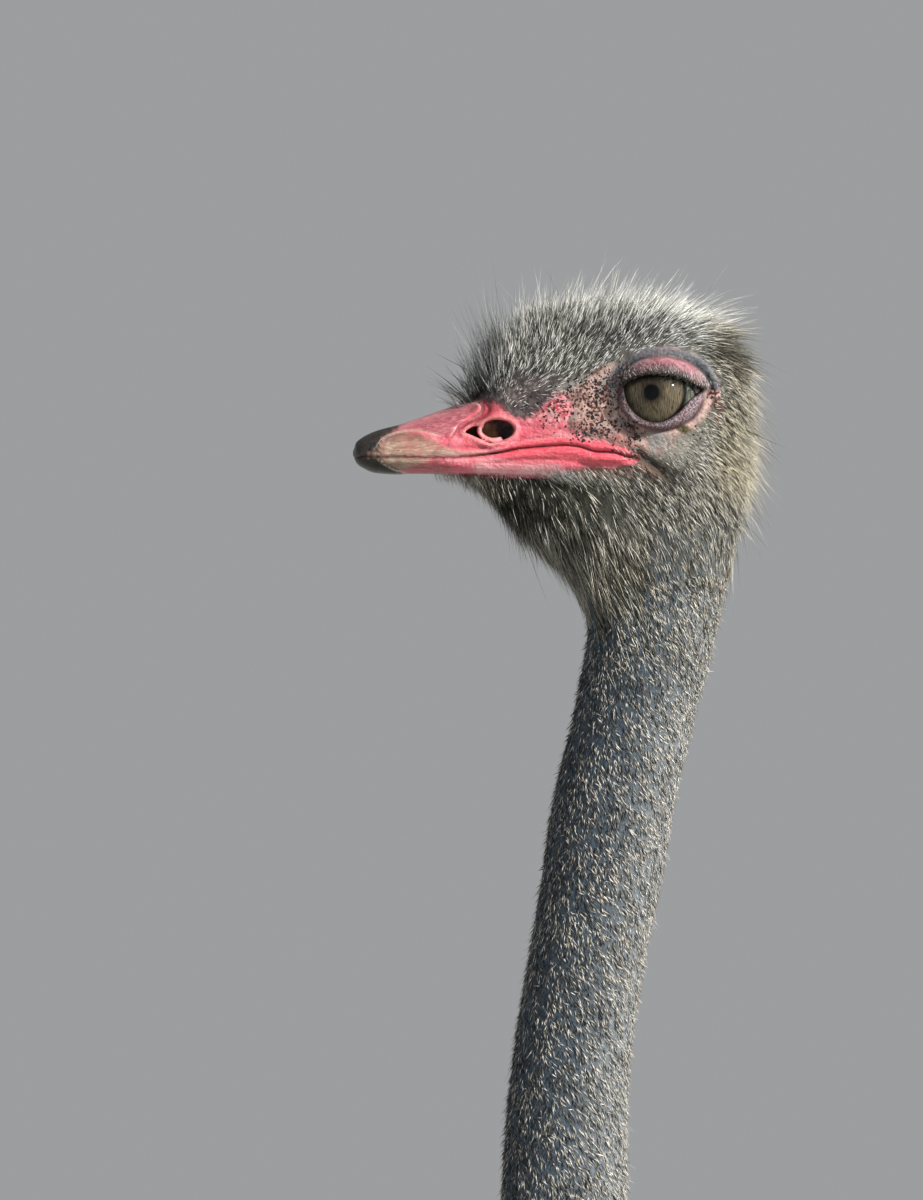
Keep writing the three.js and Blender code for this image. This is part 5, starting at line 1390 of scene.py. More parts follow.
def tubes(P, W, up, flat=0.5):
    """Three-sided tapering strands along given points. P: N x K x 3, W: N x K widths, up: N x 3. Ends in a point."""
    N, K, _ = P.shape
    T = np.empty_like(P)
    T[:, 1:-1] = P[:, 2:] - P[:, :-2]
    T[:, 0], T[:, -1] = P[:, 1] - P[:, 0], P[:, -1] - P[:, -2]
    T = unit(T)
    S = unit(np.cross(T, up[:, None, :]))
    U = np.cross(S, T)
    w = W[..., None] * 0.5
    ring = np.stack([P + S * w, P - S * w, P + U * w * 2 * flat], 2)[:, :-1]  # N x K-1 x 3 x 3
    v = np.concatenate([ring.reshape(N, -1, 3), P[:, -1:]], 1)
    nv = 3 * (K - 1) + 1
    f = [(0, 2, 1)]
    for k in range(K - 2):
        a, b = 3 * k, 3 * k + 3
        for i, j in ((0, 1), (1, 2), (2, 0)):
            f += [(a + i, a + j, b + j), (a + i, b + j, b + i)]
    a = 3 * (K - 2)
    f += [(a, a + 1, nv - 1), (a + 1, a + 2, nv - 1), (a + 2, a, nv - 1)]
    f = np.array(f)
    faces = (f[None] + (np.arange(N) * nv)[:, None, None]).reshape(-1, 3)
    t = np.concatenate([np.repeat(np.arange(K - 1) / (K - 1), 3), [1.0]])
    c = np.concatenate([np.tile([0, 1, 2], K - 1), [1]])
    return v.reshape(-1, 3), faces, np.tile(t, N), np.tile(c, N), nv


def strands(root, d, up, length, width, bend, K=3, flat=0.4, taper=None):
    t = np.linspace(0, 1, K)[None, :, None]
    L = length[:, None, None]
    P = root[:, None] + L * (d[:, None] * t + bend[:, None] * t**2)
    prof = np.array(taper if taper is not None else [0.8] + [1.0] * (K - 2) + [0.0])[None]
    return tubes(P, width[:, None] * prof, up, flat)


class Coat:
    """Collects strands and turns them into pieces of fewer than 200,000 triangles."""

    def __init__(self):
        self.v, self.f, self.uv, self.at, self.n = [], [], [], [], 0

    def add(self, built, root_uv, **attrs):
        v, f, t, c, nv = built
        uv = np.repeat(root_uv, nv, 0)
        uv = uv + np.stack([(t - 0.5) * 0.003, (c - 1.0) * 0.0015], 1)
        self.v.append(v)
        self.f.append(f + self.n)
        self.uv.append(uv)
        a = {k: np.repeat(np.asarray(x, float), nv) for k, x in attrs.items()}
        a["t"] = t
        self.at.append(a)
        self.n += len(v)

    def piece(self, name, mat, slot, *nodes):
        v, f, uv = np.concatenate(self.v), np.concatenate(self.f), np.concatenate(self.uv)
        wide = np.abs(v[:, 0])
        v[:, 0] = np.sign(v[:, 0]) * np.where(wide > 300, 300 + 40 * (1 - np.exp((300 - wide) / 40)), wide)
        keys = set().union(*[a.keys() for a in self.at])
        at = {k: np.concatenate([a.get(k, np.zeros(len(a["t"]))) for a in self.at]) for k in keys}
        assert len(f) < 199500, (name, len(f))
        uv = np.clip(uv, 0.0005, 0.9995)
        ob = make_mesh(name, v, f, at, uv)
        dress(ob, mat, slot, *nodes)
        print(name, len(f))
        return ob


def point_normals(v, f):
    n = np.zeros_like(v)
    fn = np.cross(v[f[:, 1]] - v[f[:, 0]], v[f[:, 2]] - v[f[:, 0]])
    for k in range(3):
        for c in range(3):
            n[:, c] += np.bincount(f[:, k], fn[:, c], len(v))
    return unit(n)


def scatter(v, f, vn, density, count, rng):
    """About this many points over the faces, thinned by a density from 0 to 1."""
    p = v[f]
    area = np.linalg.norm(np.cross(p[:, 1] - p[:, 0], p[:, 2] - p[:, 0]), axis=1) / 2
    dens = density(p.mean(1))
    w = area * np.maximum(dens, 0)
    cum = np.cumsum(w)
    pick = np.searchsorted(cum, (np.arange(count) + rng.random(count)) / count * cum[-1])
    pick = np.minimum(pick, len(f) - 1)
    r1, r2 = np.sqrt(rng.random(count)), rng.random(count)
    b = np.stack([1 - r1, r1 * (1 - r2), r1 * r2], 1)
    q = (v[f[pick]] * b[:, :, None]).sum(1)
    n = unit((vn[f[pick]] * b[:, :, None]).sum(1))
    return q, n


def tangent(d, n):
    return unit(d - (d * n).sum(1)[:, None] * n)


VN = point_normals(Vs, Fc)
fc = Vs[Fc].mean(1)
rng = np.random.default_rng(11)

# how the hairs of the head lie: distance behind the tip, height over the eye, then the direction in the side view
LIE = np.array([
    (48, -3, -0.66, 0.76), (56, 1, -0.60, 0.80), (64, 5, -0.5, 0.87), (50, 8, -0.8, 0.6), (56, 14, -0.75, 0.66), (60, 26, -0.7, 0.75), (66, 36, -0.5, 0.9), (82, 42, -0.25, 1.0),
    (100, 44, 0.0, 1.0), (118, 45, 0.2, 1.0), (136, 45, 0.45, 0.9), (152, 42, 0.75, 0.65), (165, 36, 0.95, 0.35),
    (176, 22, 1.0, 0.1), (184, 8, 1.0, -0.15), (184, -10, 0.9, -0.45), (178, -30, 0.8, -0.6), (172, -50, 0.6, -0.8),
    (75, 0, 0.6, 0.5), (87, -4, 0.5, -0.8), (72, 12, 0.1, 0.9), (92, 12, 0.45, 0.85), (108, 18, 0.5, 0.85), (84, 24, 0.05, 1.0),
    (120, 28, 0.4, 0.9), (136, 27, 0.45, 0.85), (150, 27, 0.7, 0.6), (162, 20, 0.9, 0.3), (170, 8, 1.0, 0.0), (172, -6, 0.95, -0.25),
    (112, -4, 0.6, 0.3), (116, -14, 0.7, -0.5), (140, -22, 0.7, -0.6), (154, -20, 0.8, -0.5), (166, -18, 0.85, -0.45),
    (104, -38, 0.6, -0.8), (120, -38, 0.6, -0.8), (136, -42, 0.6, -0.8), (150, -40, 0.65, -0.75), (160, -50, 0.5, -0.85),
    (64, -42, 0.25, -0.97), (76, -52, 0.25, -0.97), (90, -62, 0.3, -0.95), (104, -76, 0.35, -0.93), (120, -80, 0.4, -0.9),
    (140, -76, 0.45, -0.9), (130, -100, 0.42, -0.9), (150, -100, 0.5, -0.87), (166, -80, 0.55, -0.85), (140, -126, 0.4, -0.9),
], float)


def lie_of(a, h):
    out = np.zeros((len(a), 2))
    d2 = (a[:, None] - LIE[None, :, 0]) ** 2 + (h[:, None] - LIE[None, :, 1]) ** 2
    w = np.exp(-d2 / (2 * 8.5**2)) + 1e-9 / (1 + d2)
    out = w @ unit(LIE[:, 2:])
    return unit(out)


HAIR_TRIS = 10


def head_density(p):
    a, x, h = from_world(p)
    ax = np.abs(x)
    d = np.ones(len(p))
    pink = np.maximum(inside(a, h, ZONES["pink"], 1.5), sstep(54, 49, a))
    mouth = np.interp(a, *np.array(L["mouth"]).T)
    d *= 1 - pink * (h > -48)
    d *= 1 - sstep(0.4, 0.9, inside(a, h, ZONES["face"], 3.0)) * 0.86 * (ax > 14)
    er = np.where(h > 0, np.hypot((a - 146.1) / 26.6, h / 23.0), np.hypot((a - 145.3) / 22.6, (h - 1) / 19.0))
    d *= 1 - sstep(1.08, 0.98, er) * (ax > 10)
    d *= sstep(-128, -118, h)
    d *= 1 - 0.55 * inside(a, h, ZONES["patch"], 2.0) * sstep(92, 82, a)
    d *= 1 - (line_dist(a, h, L["nostril"], True) < 5.5) * (h > -24)
    cheek = np.exp(-(((a - 150) / 15.0) ** 2 + ((h + 21.0) / 6.0) ** 2)) * (ax > 12)
    d *= 1 - 0.35 * cheek
    d *= 1 - 0.8 * np.exp(-(((a - 172.5) / 3.4) ** 2 + ((h + 4.5) / 9.0) ** 2)) * (ax > 10)
    d *= 1 - 0.55 * np.maximum(gauss(line_dist(a, h, [(133, -27), (140, -31.5), (149, -36)]), 2.6), gauss(line_dist(a, h, [(106, -37.0), (122, -36.2), (136, -34.8)]), 2.6)) * (ax > 10)
    d *= 1 - 0.35 * sstep(-60, -92, h)
    return np.where(p[:, 2] > EYE_Z - 130, d, 0)


near = fc[:, 2] > EYE_Z - 128
hv_f = Fc[near]
hairs = Coat()


def head_uv(p):
    a, x, h = from_world(p)
    hc = np.interp(a, [0, 50, 120, 190], [-28, -26, -8, -6])
    ang = np.arctan2(x, h - hc)
    low = h < -52
    u = 0.5 + ang / (2 * math.pi) * 0.98
    v = np.where(low, 0.02 + 0.28 * (h + 130) / 78, 0.32 + 0.66 * a / 190)
    u = np.where(low, 0.5 + np.arctan2(x, a - 148) / (2 * math.pi) * 0.98, u)
    return np.stack([u, v], 1)


# share of pale hairs by place: (behind the tip, over the eye, how far it reaches, change)
# the entries at (80, -46), (142, -33) and (150, -37.5) darken the hairs under the jaw and in the furrow behind the
# gape: painted shade
TONES = [(74, 38, 13, 9, 0.22), (150, 38, 18, 12, 0.26), (112, 24, 20, 9, -0.22), (86, 10, 13, 9, 0.06), (180, -30, 10, 24, 0.34), (182, 27, 9, 15, -0.38), (118, 33, 18, 7, -0.14),
         (166, -40, 12, 15, 0.34), (106, -60, 18, 12, -0.10), (80, -46, 18, 8, -0.74), (142, -33, 7, 4.5, -0.6), (150, -37.5, 7, 5, -0.5), (60, 13, 12, 15, 0.36),
         (140, -84, 26, 10, -0.30), (100, -56, 16, 7, -0.30), (120, -44, 20, 6, 0.04), (172, 16, 6, 14, 0.14)]


def head_hairs(count, seed, lenf=1.0, widthf=1.0, extra=None, keep=None, base=head_density, light=0.0):
    r = np.random.default_rng(seed)
    p, n = scatter(Vs, hv_f, VN, (lambda q: base(q) * (keep(q) if keep else 1)), count, r)
    a, x, h = from_world(p)
    ax = np.abs(x)
    d2 = lie_of(a, h)
    lat = n[:, 0] * 0.4
    d = np.stack([lat, d2[:, 0], d2[:, 1]], 1)
    d += r.normal(0, 1, d.shape) * 0.12
    # clumps: neighbours lean together
    d += np.stack([np.sin(p[:, 1] * 0.9 + p[:, 2] * 0.5), np.sin(p[:, 2] * 0.8 + p[:, 0] * 0.7), np.sin(p[:, 1] * 0.6 - p[:, 0] * 0.8)], 1) * 0.11
    d = unit(d)
    nd = (d * n).sum(1)
    tan = tangent(d, n)
    # lift off the skin: flat on the cheeks, standing on the crown
    lift = np.clip(nd, 0.16, 0.85)
    crown = sstep(22, 34, h)
    throat = sstep(-38, -56, h) * sstep(150, 110, a)
    back = sstep(164, 176, a) * sstep(-60, -30, h)
    tuft = np.exp(-(((a - 176) / 10.0) ** 2 + ((h - 28) / 13.0) ** 2))
    front = sstep(78, 60, a) * (h > -5)
    neckish = sstep(-74, -96, h)
    lift = np.where(h < -60, np.clip(lift, 0.14, 0.32), lift)
    lift = np.maximum(lift, 0.72 * tuft)
    near_eye = sstep(1.75, 1.0, np.hypot((a - 146.1) / 26.5, (h - 0.5) / 22.0)) * (ax > 10)
    lift = np.clip(lift * (1 - 0.35 * near_eye), 0.12, 0.88)
    d = unit(tan * np.sqrt(1 - lift**2)[:, None] + n * lift[:, None])
    length = 6.8 + 4.8 * crown + 5.0 * front + 6.5 * throat + 4.0 * back + 10.0 * tuft - 2.0 * neckish
    length *= 1 - 0.5 * near_eye
    facez = inside(a, h, ZONES["face"], 4.0) * (ax > 14)
    length *= 1 - 0.62 * facez
    patch = inside(a, h, ZONES["patch"], 3.0)
    length *= 1 - 0.5 * patch * sstep(92, 82, a)
    length *= 1 - 0.45 * np.exp(-(((a - 150) / 19.0) ** 2 + ((h + 24.0) / 10.0) ** 2)) * (ax > 10)
    length = np.where((d2[:, 1] < 0.15) & (a < 76) & (h > -14), np.minimum(length, 4.0), length)
    length *= r.uniform(0.5, 1.35, len(p)) * lenf
    width = (0.32 + 0.02 * throat + 0.04 * back + 0.04 * neckish) * r.uniform(0.7, 1.3, len(p)) * widthf
    droop = np.array([0, 0, -1.0]) * (0.06 + 0.22 * throat + 0.08 * back)[:, None]
    bend = droop - n * (0.08 + 0.12 * (1 - crown))[:, None] + r.normal(0, 0.07, d.shape)
    # colours: pale and dark hairs grow side by side
    warm = 0.26 + 0.5 * back + 0.5 * tuft + 0.22 * sstep(-10, -40, h) + 0.2 * sstep(-50, -80, h) - 0.3 * near_eye * (h > 0) - 0.12 * front
    warm = warm + 0.3 * np.exp(-(((a - 170) / 10) ** 2 + (h / 30) ** 2)) + r.normal(0, 0.12, len(p))
    share = 0.54 + light + 0.08 * np.sin(p[:, 1] * 0.55 + 1) * np.sin(p[:, 2] * 0.5 + p[:, 0] * 0.2)
    for ta, th_, ra, rh, amp in TONES:
        share = share + amp * np.exp(-(((a - ta) / ra) ** 2 + ((h - th_) / rh) ** 2))
    pale = r.random(len(p)) < np.clip(share, 0.04, 0.96)
    # shade: painted shade on the hairs under the jaw, plus the tuft's own darker colour
    shade = np.exp(-(((a - 80) / 17.0) ** 2 + ((h + 45) / 8.0) ** 2)) + 0.5 * tuft
    tone = np.where(pale, r.normal(0.86, 0.12, len(p)), r.normal(0.26, 0.13, len(p)) - 0.22 * shade)
    in_tuft = r.random(len(p)) < np.minimum(tuft * 1.6, 1)
    tone = np.where(in_tuft, r.normal(0.20, 0.12, len(p)), tone)
    warm = np.where(in_tuft, r.normal(0.85, 0.1, len(p)), warm)
    if extra:
        tone, warm, length, width = extra(a, x, h, tone, warm, length, width, r)
    return p, n, d, length, width, bend, np.clip(tone, 0, 1), np.clip(warm, 0, 1)


def coat_material(name, dark, light, warm_dark, warm_light, rough=0.62, spec=0.3):
    M = Mat(name)
    n = M.noise(240, 3)
    tone = M.math("MULTIPLY", M.attr("tone"), M.ramp(M.attr("t"), 0.0, 0.55, 0.45, 1.0))
    tone = M.math("ADD", tone, M.ramp(n, 0.3, 0.7, -0.08, 0.08), clamp=True)
    tone = M.math("POWER", tone, 1.7)
    cool = M.mix(tone, srgb(*dark), srgb(*light))
    warm = M.mix(tone, srgb(*warm_dark), srgb(*warm_light))
    col = M.mix(M.attr("warm"), cool, warm)
    M.set(Base_Color=col, Roughness=M.ramp(n, 0.3, 0.7, rough - 0.06, rough + 0.06), Specular_IOR_Level=spec)
    M.set(Normal=M.bump(M.noise(2600, 2), 0.0001, 0.3))
    return M


head_mat = coat_material("coat_head", (30, 34, 34), (232, 236, 236), (44, 42, 26), (242, 232, 206))


def split_sides(parts, name, mat, slot, *nodes, flat=0.4):
    """Left and right pieces from root arrays."""
    for side, tag in ((1, "left"), (-1, "right")):
        coat = Coat()
        for (p, n, d, length, width, bend, tone, warm), K in parts:
            s = (p[:, 0] >= 0) == (side > 0)
            built = strands(p[s] - n[s] * 0.4, d[s], n[s], length[s], width[s], bend[s], K, flat, [1.0, 0.0] if K == 2 else None)
            coat.add(built, head_uv(p[s]), tone=tone[s], warm=warm[s])
        coat.piece(f"{name}_{tag}", mat, slot, *nodes)


Q = 1.0
under_hair = head_hairs(int(31000 * Q), 3, 0.8, 1.15, light=-0.06)
over_hair = head_hairs(int(16500 * Q), 4, 1.15, 1.0, light=0.06)


def wisps(a, x, h, tone, warm, length, width, r):
    n = len(a)
    crown, back, throat = sstep(22, 34, h), sstep(168, 180, a), sstep(-44, -56, h) * sstep(118, 96, a)
    length = length + r.gamma(2.0, 4.2, n) * np.maximum(crown, back) + r.gamma(2.0, 2.4, n) * throat
    return np.where(crown > 0.5, r.uniform(0.35, 1.0, n), tone * 0.85), warm, length, width * 0.7


def wisp_zone(q):
    a, x, h = from_world(q)
    return 0.02 + np.maximum(sstep(24, 34, h) * sstep(58, 70, a), np.maximum(0.8 * sstep(170, 180, a), 0.7 * sstep(-44, -56, h) * sstep(116, 96, a)))


def bristle_base(q):
    """Over the brow and forward along the top of the bill, where no other hair grows."""
    a, x, h = from_world(q)
    ridge = sstep(46, 60, a) * sstep(76, 68, a) * sstep(10, 6, np.abs(x)) * (h > -9)
    return np.maximum(head_density(q) * sstep(78, 66, a) * sstep(-1, 4, h), 1.9 * ridge)


def bristles(a, x, h, tone, warm, length, width, r):
    return np.where(r.random(len(a)) < 0.46, r.uniform(0.55, 0.92, len(a)), r.uniform(0.12, 0.55, len(a))), warm * 0.5, (length * 0.75 + r.gamma(2.6, 4.6, len(a)) * sstep(36, 24, h)) * (0.55 + 0.45 * sstep(48, 64, a)), width * 0.8


def lore_zone(q):
    a, x, h = from_world(q)
    return inside(a, h, ZONES["patch"], 2.0) * (np.abs(x) > 6)


def lore_hairs(a, x, h, tone, warm, length, width, r):
    return np.where(r.random(len(a)) < 0.45, r.uniform(0.55, 0.85, len(a)), r.uniform(0.05, 0.3, len(a))), warm * 0.4, np.minimum(length * 0.9 + 0.8, 5.0), width * 0.7


def face_zone(q):
    a, x, h = from_world(q)
    return (inside(a, h, ZONES["face"], 3.0) + 0.5 * np.exp(-(((a - 98) / 8.0) ** 2 + ((h + 4.0) / 7.0) ** 2))) * (np.abs(x) > 14) * (np.hypot((a - 145.3) / 22.6, (h - 1) / 19.0) > 1.03)


def face_hairs(a, x, h, tone, warm, length, width, r):
    return np.clip(r.normal(0.78, 0.16, len(a)), 0, 1), warm * 0.5, r.uniform(1.8, 3.6, len(a)), width * 0.55


def jaw_zone(q):
    a, x, h = from_world(q)
    return np.exp(-(((h + 36.5 + 0.05 * (a - 110)) / 2.6) ** 2)) * sstep(84, 100, a) * sstep(142, 130, a) * (np.abs(x) > 10)


def jaw_hairs(a, x, h, tone, warm, length, width, r):
    return np.clip(r.normal(0.80, 0.16, len(a)), 0, 1), warm * 0.6, r.uniform(3.6, 7.2, len(a)), width * 0.8


def chin_zone(q):
    a, x, h = from_world(q)
    return sstep(34, 48, a) * sstep(72, 60, a) * (h < -34) * (np.abs(x) < 17)


def chin_hairs(a, x, h, tone, warm, length, width, r):
    return r.uniform(0.3, 0.8, len(a)), warm + 0.3, r.uniform(5, 9, len(a)) + r.gamma(2.0, 1.6, len(a)) * sstep(40, 60, a), width * 0.45


def cheek_zone(q):
    a, x, h = from_world(q)
    lid = np.where(h > 0, np.hypot((a - 146.1) / 26.0, h / 22.4), np.hypot((a - 145.3) / 22.6, (h - 1) / 19.0))
    return np.exp(-(((a - 150) / 22.0) ** 2 + ((h + 22.0) / 11.0) ** 2)) * (np.abs(x) > 12) * (lid > 1.04) * (inside(a, h, ZONES["pink"], 2.0) < 0.2)


def cheek_hairs(a, x, h, tone, warm, length, width, r):
    return np.clip(tone + 0.06, 0, 1), warm * 0.8, r.uniform(2.2, 4.6, len(a)), width * 0.85


def lash_zone(q):
    a, x, h = from_world(q)
    op = line_dist(a, h, L["opening"], True)
    return (h > 4.5) * (op > -0.6) * (op < 1.6) * (np.abs(x) > 14) * sstep(126, 131, a) * sstep(170, 164, a)


def lashes(count, seed):
    r = np.random.default_rng(seed)
    p, n = scatter(Vs, hv_f, VN, lash_zone, count, r)
    a, x, h = from_world(p)
    side = np.sign(x)
    d = unit(np.stack([side * 0.85, -0.25 + 0.012 * (a - 146), np.full(len(a), -0.30)], 1) + r.normal(0, 0.16, (len(a), 3)))
    length = r.uniform(3.2, 6.0, len(a))
    bend = np.stack([-side * 0.12, np.full(len(a), -0.08), np.full(len(a), 0.12)], 1) + r.normal(0, 0.05, (len(a), 3))
    return p, n, d, length, np.full(len(a), 0.38), bend, r.uniform(0.0, 0.22, len(a)), np.full(len(a), 0.5)


def lid_zone(q):
    a, x, h = from_world(q)
    op = line_dist(a, h, L["opening"], True)
    return (h > 3.5) * sstep(-0.2, 0.6, op) * sstep(6.5, 3.5, op) * (np.abs(x) > 14)


def lid_hairs(count, seed):
    """Short bristles on the lower half of the upper lid."""
    r = np.random.default_rng(seed)
    p, n = scatter(Vs, hv_f, VN, lid_zone, count, r)
    a, x, h = from_world(p)
    side = np.sign(x)
    d = unit(np.stack([side * 0.35, -0.30 + 0.02 * (a - 146), np.full(len(a), 0.85)], 1) + r.normal(0, 0.18, (len(a), 3)))
    d = unit(tangent(d, n) * 0.86 + n * 0.42)
    tone = np.where(r.random(len(a)) < 0.5, r.uniform(0.7, 1.0, len(a)), r.uniform(0.0, 0.15, len(a)))
    return p, n, d, r.uniform(1.8, 3.8, len(a)), np.full(len(a), 0.36), -n * 0.1, tone, np.full(len(a), 0.3)


ones = lambda q: np.ones(len(q))
bristle_set = list(head_hairs(int(1400 * Q), 9, extra=bristles, base=bristle_base))
bristle_set[5] = bristle_set[5] * 0.4
head_sets = [
    (under_hair, 2),
    (over_hair, 3),
    (head_hairs(int(3000 * Q), 5, extra=wisps, keep=wisp_zone), 3),
    (bristle_set, 3),
    (head_hairs(int(900 * Q), 12, extra=lore_hairs, keep=lore_zone), 2),
    (head_hairs(int(3600 * Q), 14, extra=face_hairs, keep=face_zone, base=ones), 2),
    (head_hairs(int(6500 * Q), 16, extra=cheek_hairs, keep=cheek_zone, base=ones), 2),
    (head_hairs(int(420 * Q), 15, extra=chin_hairs, keep=chin_zone, base=ones), 3),
    (head_hairs(int(1300 * Q), 19, extra=jaw_hairs, keep=jaw_zone, base=ones), 2),
    (lashes(300, 17), 3),
    (lid_hairs(1500, 18), 2),
]
split_sides(head_sets, "coat_head", head_mat, "grey_down")


def throat_zone(q):
    a, x, h = from_world(q)
    return sstep(-37, -42, h) * sstep(-92, -74, h) * sstep(48, 60, a) * sstep(146, 130, a)


def throat_hairs(a, x, h, tone, warm, length, width, r):
    # the throat's hairs darkened, the upper ones under the jaw most: painted shade
    return tone * np.where(h > -58 - 0.3 * (a - 80), 0.55, 0.85), np.clip(warm + 0.25, 0, 1), length * 0.9, width * 0.95


coat = Coat()
p, n, d, length, width, bend, tone, warm = head_hairs(int(9500 * Q), 22, extra=throat_hairs, keep=throat_zone)
coat.add(strands(p - n * 0.4, d, n, length, width, bend, 2, 0.4, [1.0, 0.0]), head_uv(p), tone=tone, warm=warm)
coat.piece("coat_throat", head_mat, "grey_down")

# ---------------------------------------------------------------- down of the neck: short pale flecks over dark skin
def neck_coat(seed, z0, z1, count, length, width, spread, stand, pale, swell=0.9):
    r = np.random.default_rng(seed)
    k = count * 8
    z = r.uniform(z0, z1, k)
    grow = 1 + swell * sstep(1990, 1500, z)
    want = neck_rad(z)[0] / grow**1.75
    z = z[r.random(k) < want / want.max() * 0.9][:count]
    t = r.uniform(0, 2 * math.pi, len(z))
    p, n = neck_surface(z, t)
    d = np.stack([np.zeros(len(z)), np.full(len(z), 0.5), np.full(len(z), -0.85)], 1)
    # the flecks stand in short wavy rows
    wob = 0.45 * np.sin(z * 0.21 + 3 * np.cos(t) + 1.3 * np.sin(z * 0.05)) + 0.3 * np.sin(z * 0.55 + t * 5)
    d += np.stack([wob * 0.35 * np.sin(t), wob * 0.35, np.zeros(len(z))], 1) + r.normal(0, spread, d.shape)
    tan = tangent(d, n)
    lift = np.clip(r.normal(stand, 0.16, len(z)), 0.10, 0.9)
    d = unit(tan * np.sqrt(1 - lift**2)[:, None] + n * lift[:, None])
    big = 1 + swell * sstep(1990, 1500, z)
    ln = length * r.uniform(0.6, 1.3, len(z)) * big
    wd = width * r.uniform(0.6, 1.35, len(z)) * big
    bend = -n * 0.15 + r.normal(0, 0.08, d.shape)
    # patches where the down is thin or worn show the blue-grey skin
    patch = np.sin(z * 0.13 + 2.1 * np.sin(t + z * 0.02)) * np.sin(t * 4 + z * 0.045)
    # more pale flecks, and paler ones, towards the rear: painted light on the lit side
    light = r.random(len(z)) < pale + 0.16 * patch + 0.26 * n[:, 1]
    tone = np.clip(np.where(light, r.normal(0.82, 0.14, len(z)), r.normal(0.24, 0.13, len(z))) + 0.05 * n[:, 1], 0, 1)
    warm = np.clip(0.26 + 0.3 * sstep(2230, 2290, z) + 0.25 * r.random(len(z)) * (r.random(len(z)) < 0.3) + r.normal(0, 0.15, len(z)), 0, 1)
    return p, n, d, ln, wd, bend, tone, warm, z, t


neck_mat = coat_material("coat_neck", (46, 58, 68), (240, 240, 234), (62, 54, 42), (226, 208, 180), 0.7, 0.22)
SETS = [
    (neck_coat(21, 1325, EYE_Z - 84, int(70000 * Q), 4.6, 0.96, 0.26, 0.40, 0.54), 2),
    (neck_coat(23, 1500, EYE_Z - 86, int(2600 * Q), 6.5, 0.30, 0.35, 0.62, 0.8, 0.3), 3),
]


def collar(count, seed):
    """The down goes on over the swell where the neck meets the shoulders."""
    r = np.random.default_rng(seed)
    near_ = (fc[:, 2] > 1240) & (fc[:, 2] < 1500)
    p, n = scatter(Vs, Fc[near_], VN, lambda q: sstep(0.12, 0.5, on_neck(q)) * (0.35 + 0.65 * sstep(30, 6, np.hypot(q[:, 0], q[:, 1] - neck_mid_world(q[:, 2])) - neck_rad(q[:, 2])[1] + 12)), count, r)
    d = np.stack([np.zeros(count), np.full(count, 0.5), np.full(count, -0.85)], 1) + r.normal(0, 0.28, (count, 3))
    d = unit(tangent(d, n) * 0.9 + n * 0.42)
    # more pale flecks towards the rear: painted light on the lit side
    light = r.random(count) < 0.5 + 0.2 * n[:, 1]
    tone = np.clip(np.where(light, r.normal(0.78, 0.15, count), r.normal(0.22, 0.13, count)), 0, 1)
    t = np.arctan2(p[:, 1] - neck_mid_world(p[:, 2]), p[:, 0])
    return p, n, d, 8.6 * r.uniform(0.6, 1.3, count), 1.75 * r.uniform(0.6, 1.3, count), -n * 0.15 + r.normal(0, 0.08, d.shape), tone, np.clip(r.normal(0.3, 0.2, count), 0, 1), p[:, 2], t


SETS.append((collar(int(6500 * Q), 27), 2))
for side, tag in ((1, "left"), (-1, "right")):
    coat = Coat()
    for (p, n, d, ln, wd, bend, tone, warm, z, t), K in SETS:
        s = (p[:, 0] >= 0) == (side > 0)
        uv = np.stack([0.01 + 0.98 * ((t + 0.5 * math.pi) / (2 * math.pi)) % 1.0, 0.01 + 0.98 * (z - 1240) / (EYE_Z - 84 - 1240)], 1)
        coat.add(strands(p[s] - n[s] * 0.3, d[s], n[s], ln[s], wd[s], bend[s], K, 0.32, [1.0, 0.0] if K == 2 else None), uv[s], tone=tone[s], warm=warm[s])
    coat.piece(f"coat_neck_{tag}", neck_mat, "grey_down")

# ---------------------------------------------------------------- plumage of the body: loose plumes of separate barbs
def spread_points(p, n, gap, rng):
    """Thins points so that none stand closer than the gap."""
    order = rng.permutation(len(p))
    cell = {}
    kept = []
    for i in order:
        key = tuple((p[i] // gap).astype(int))
        ok = True
        for dx in (-1, 0, 1):
            for dy in (-1, 0, 1):
                for dz in (-1, 0, 1):
                    for j in cell.get((key[0] + dx, key[1] + dy, key[2] + dz), ()):
                        if ((p[i] - p[j]) ** 2).sum() < gap * gap:
                            ok = False
        if ok:
            cell.setdefault(key, []).append(i)
            kept.append(i)
    return np.array(kept)


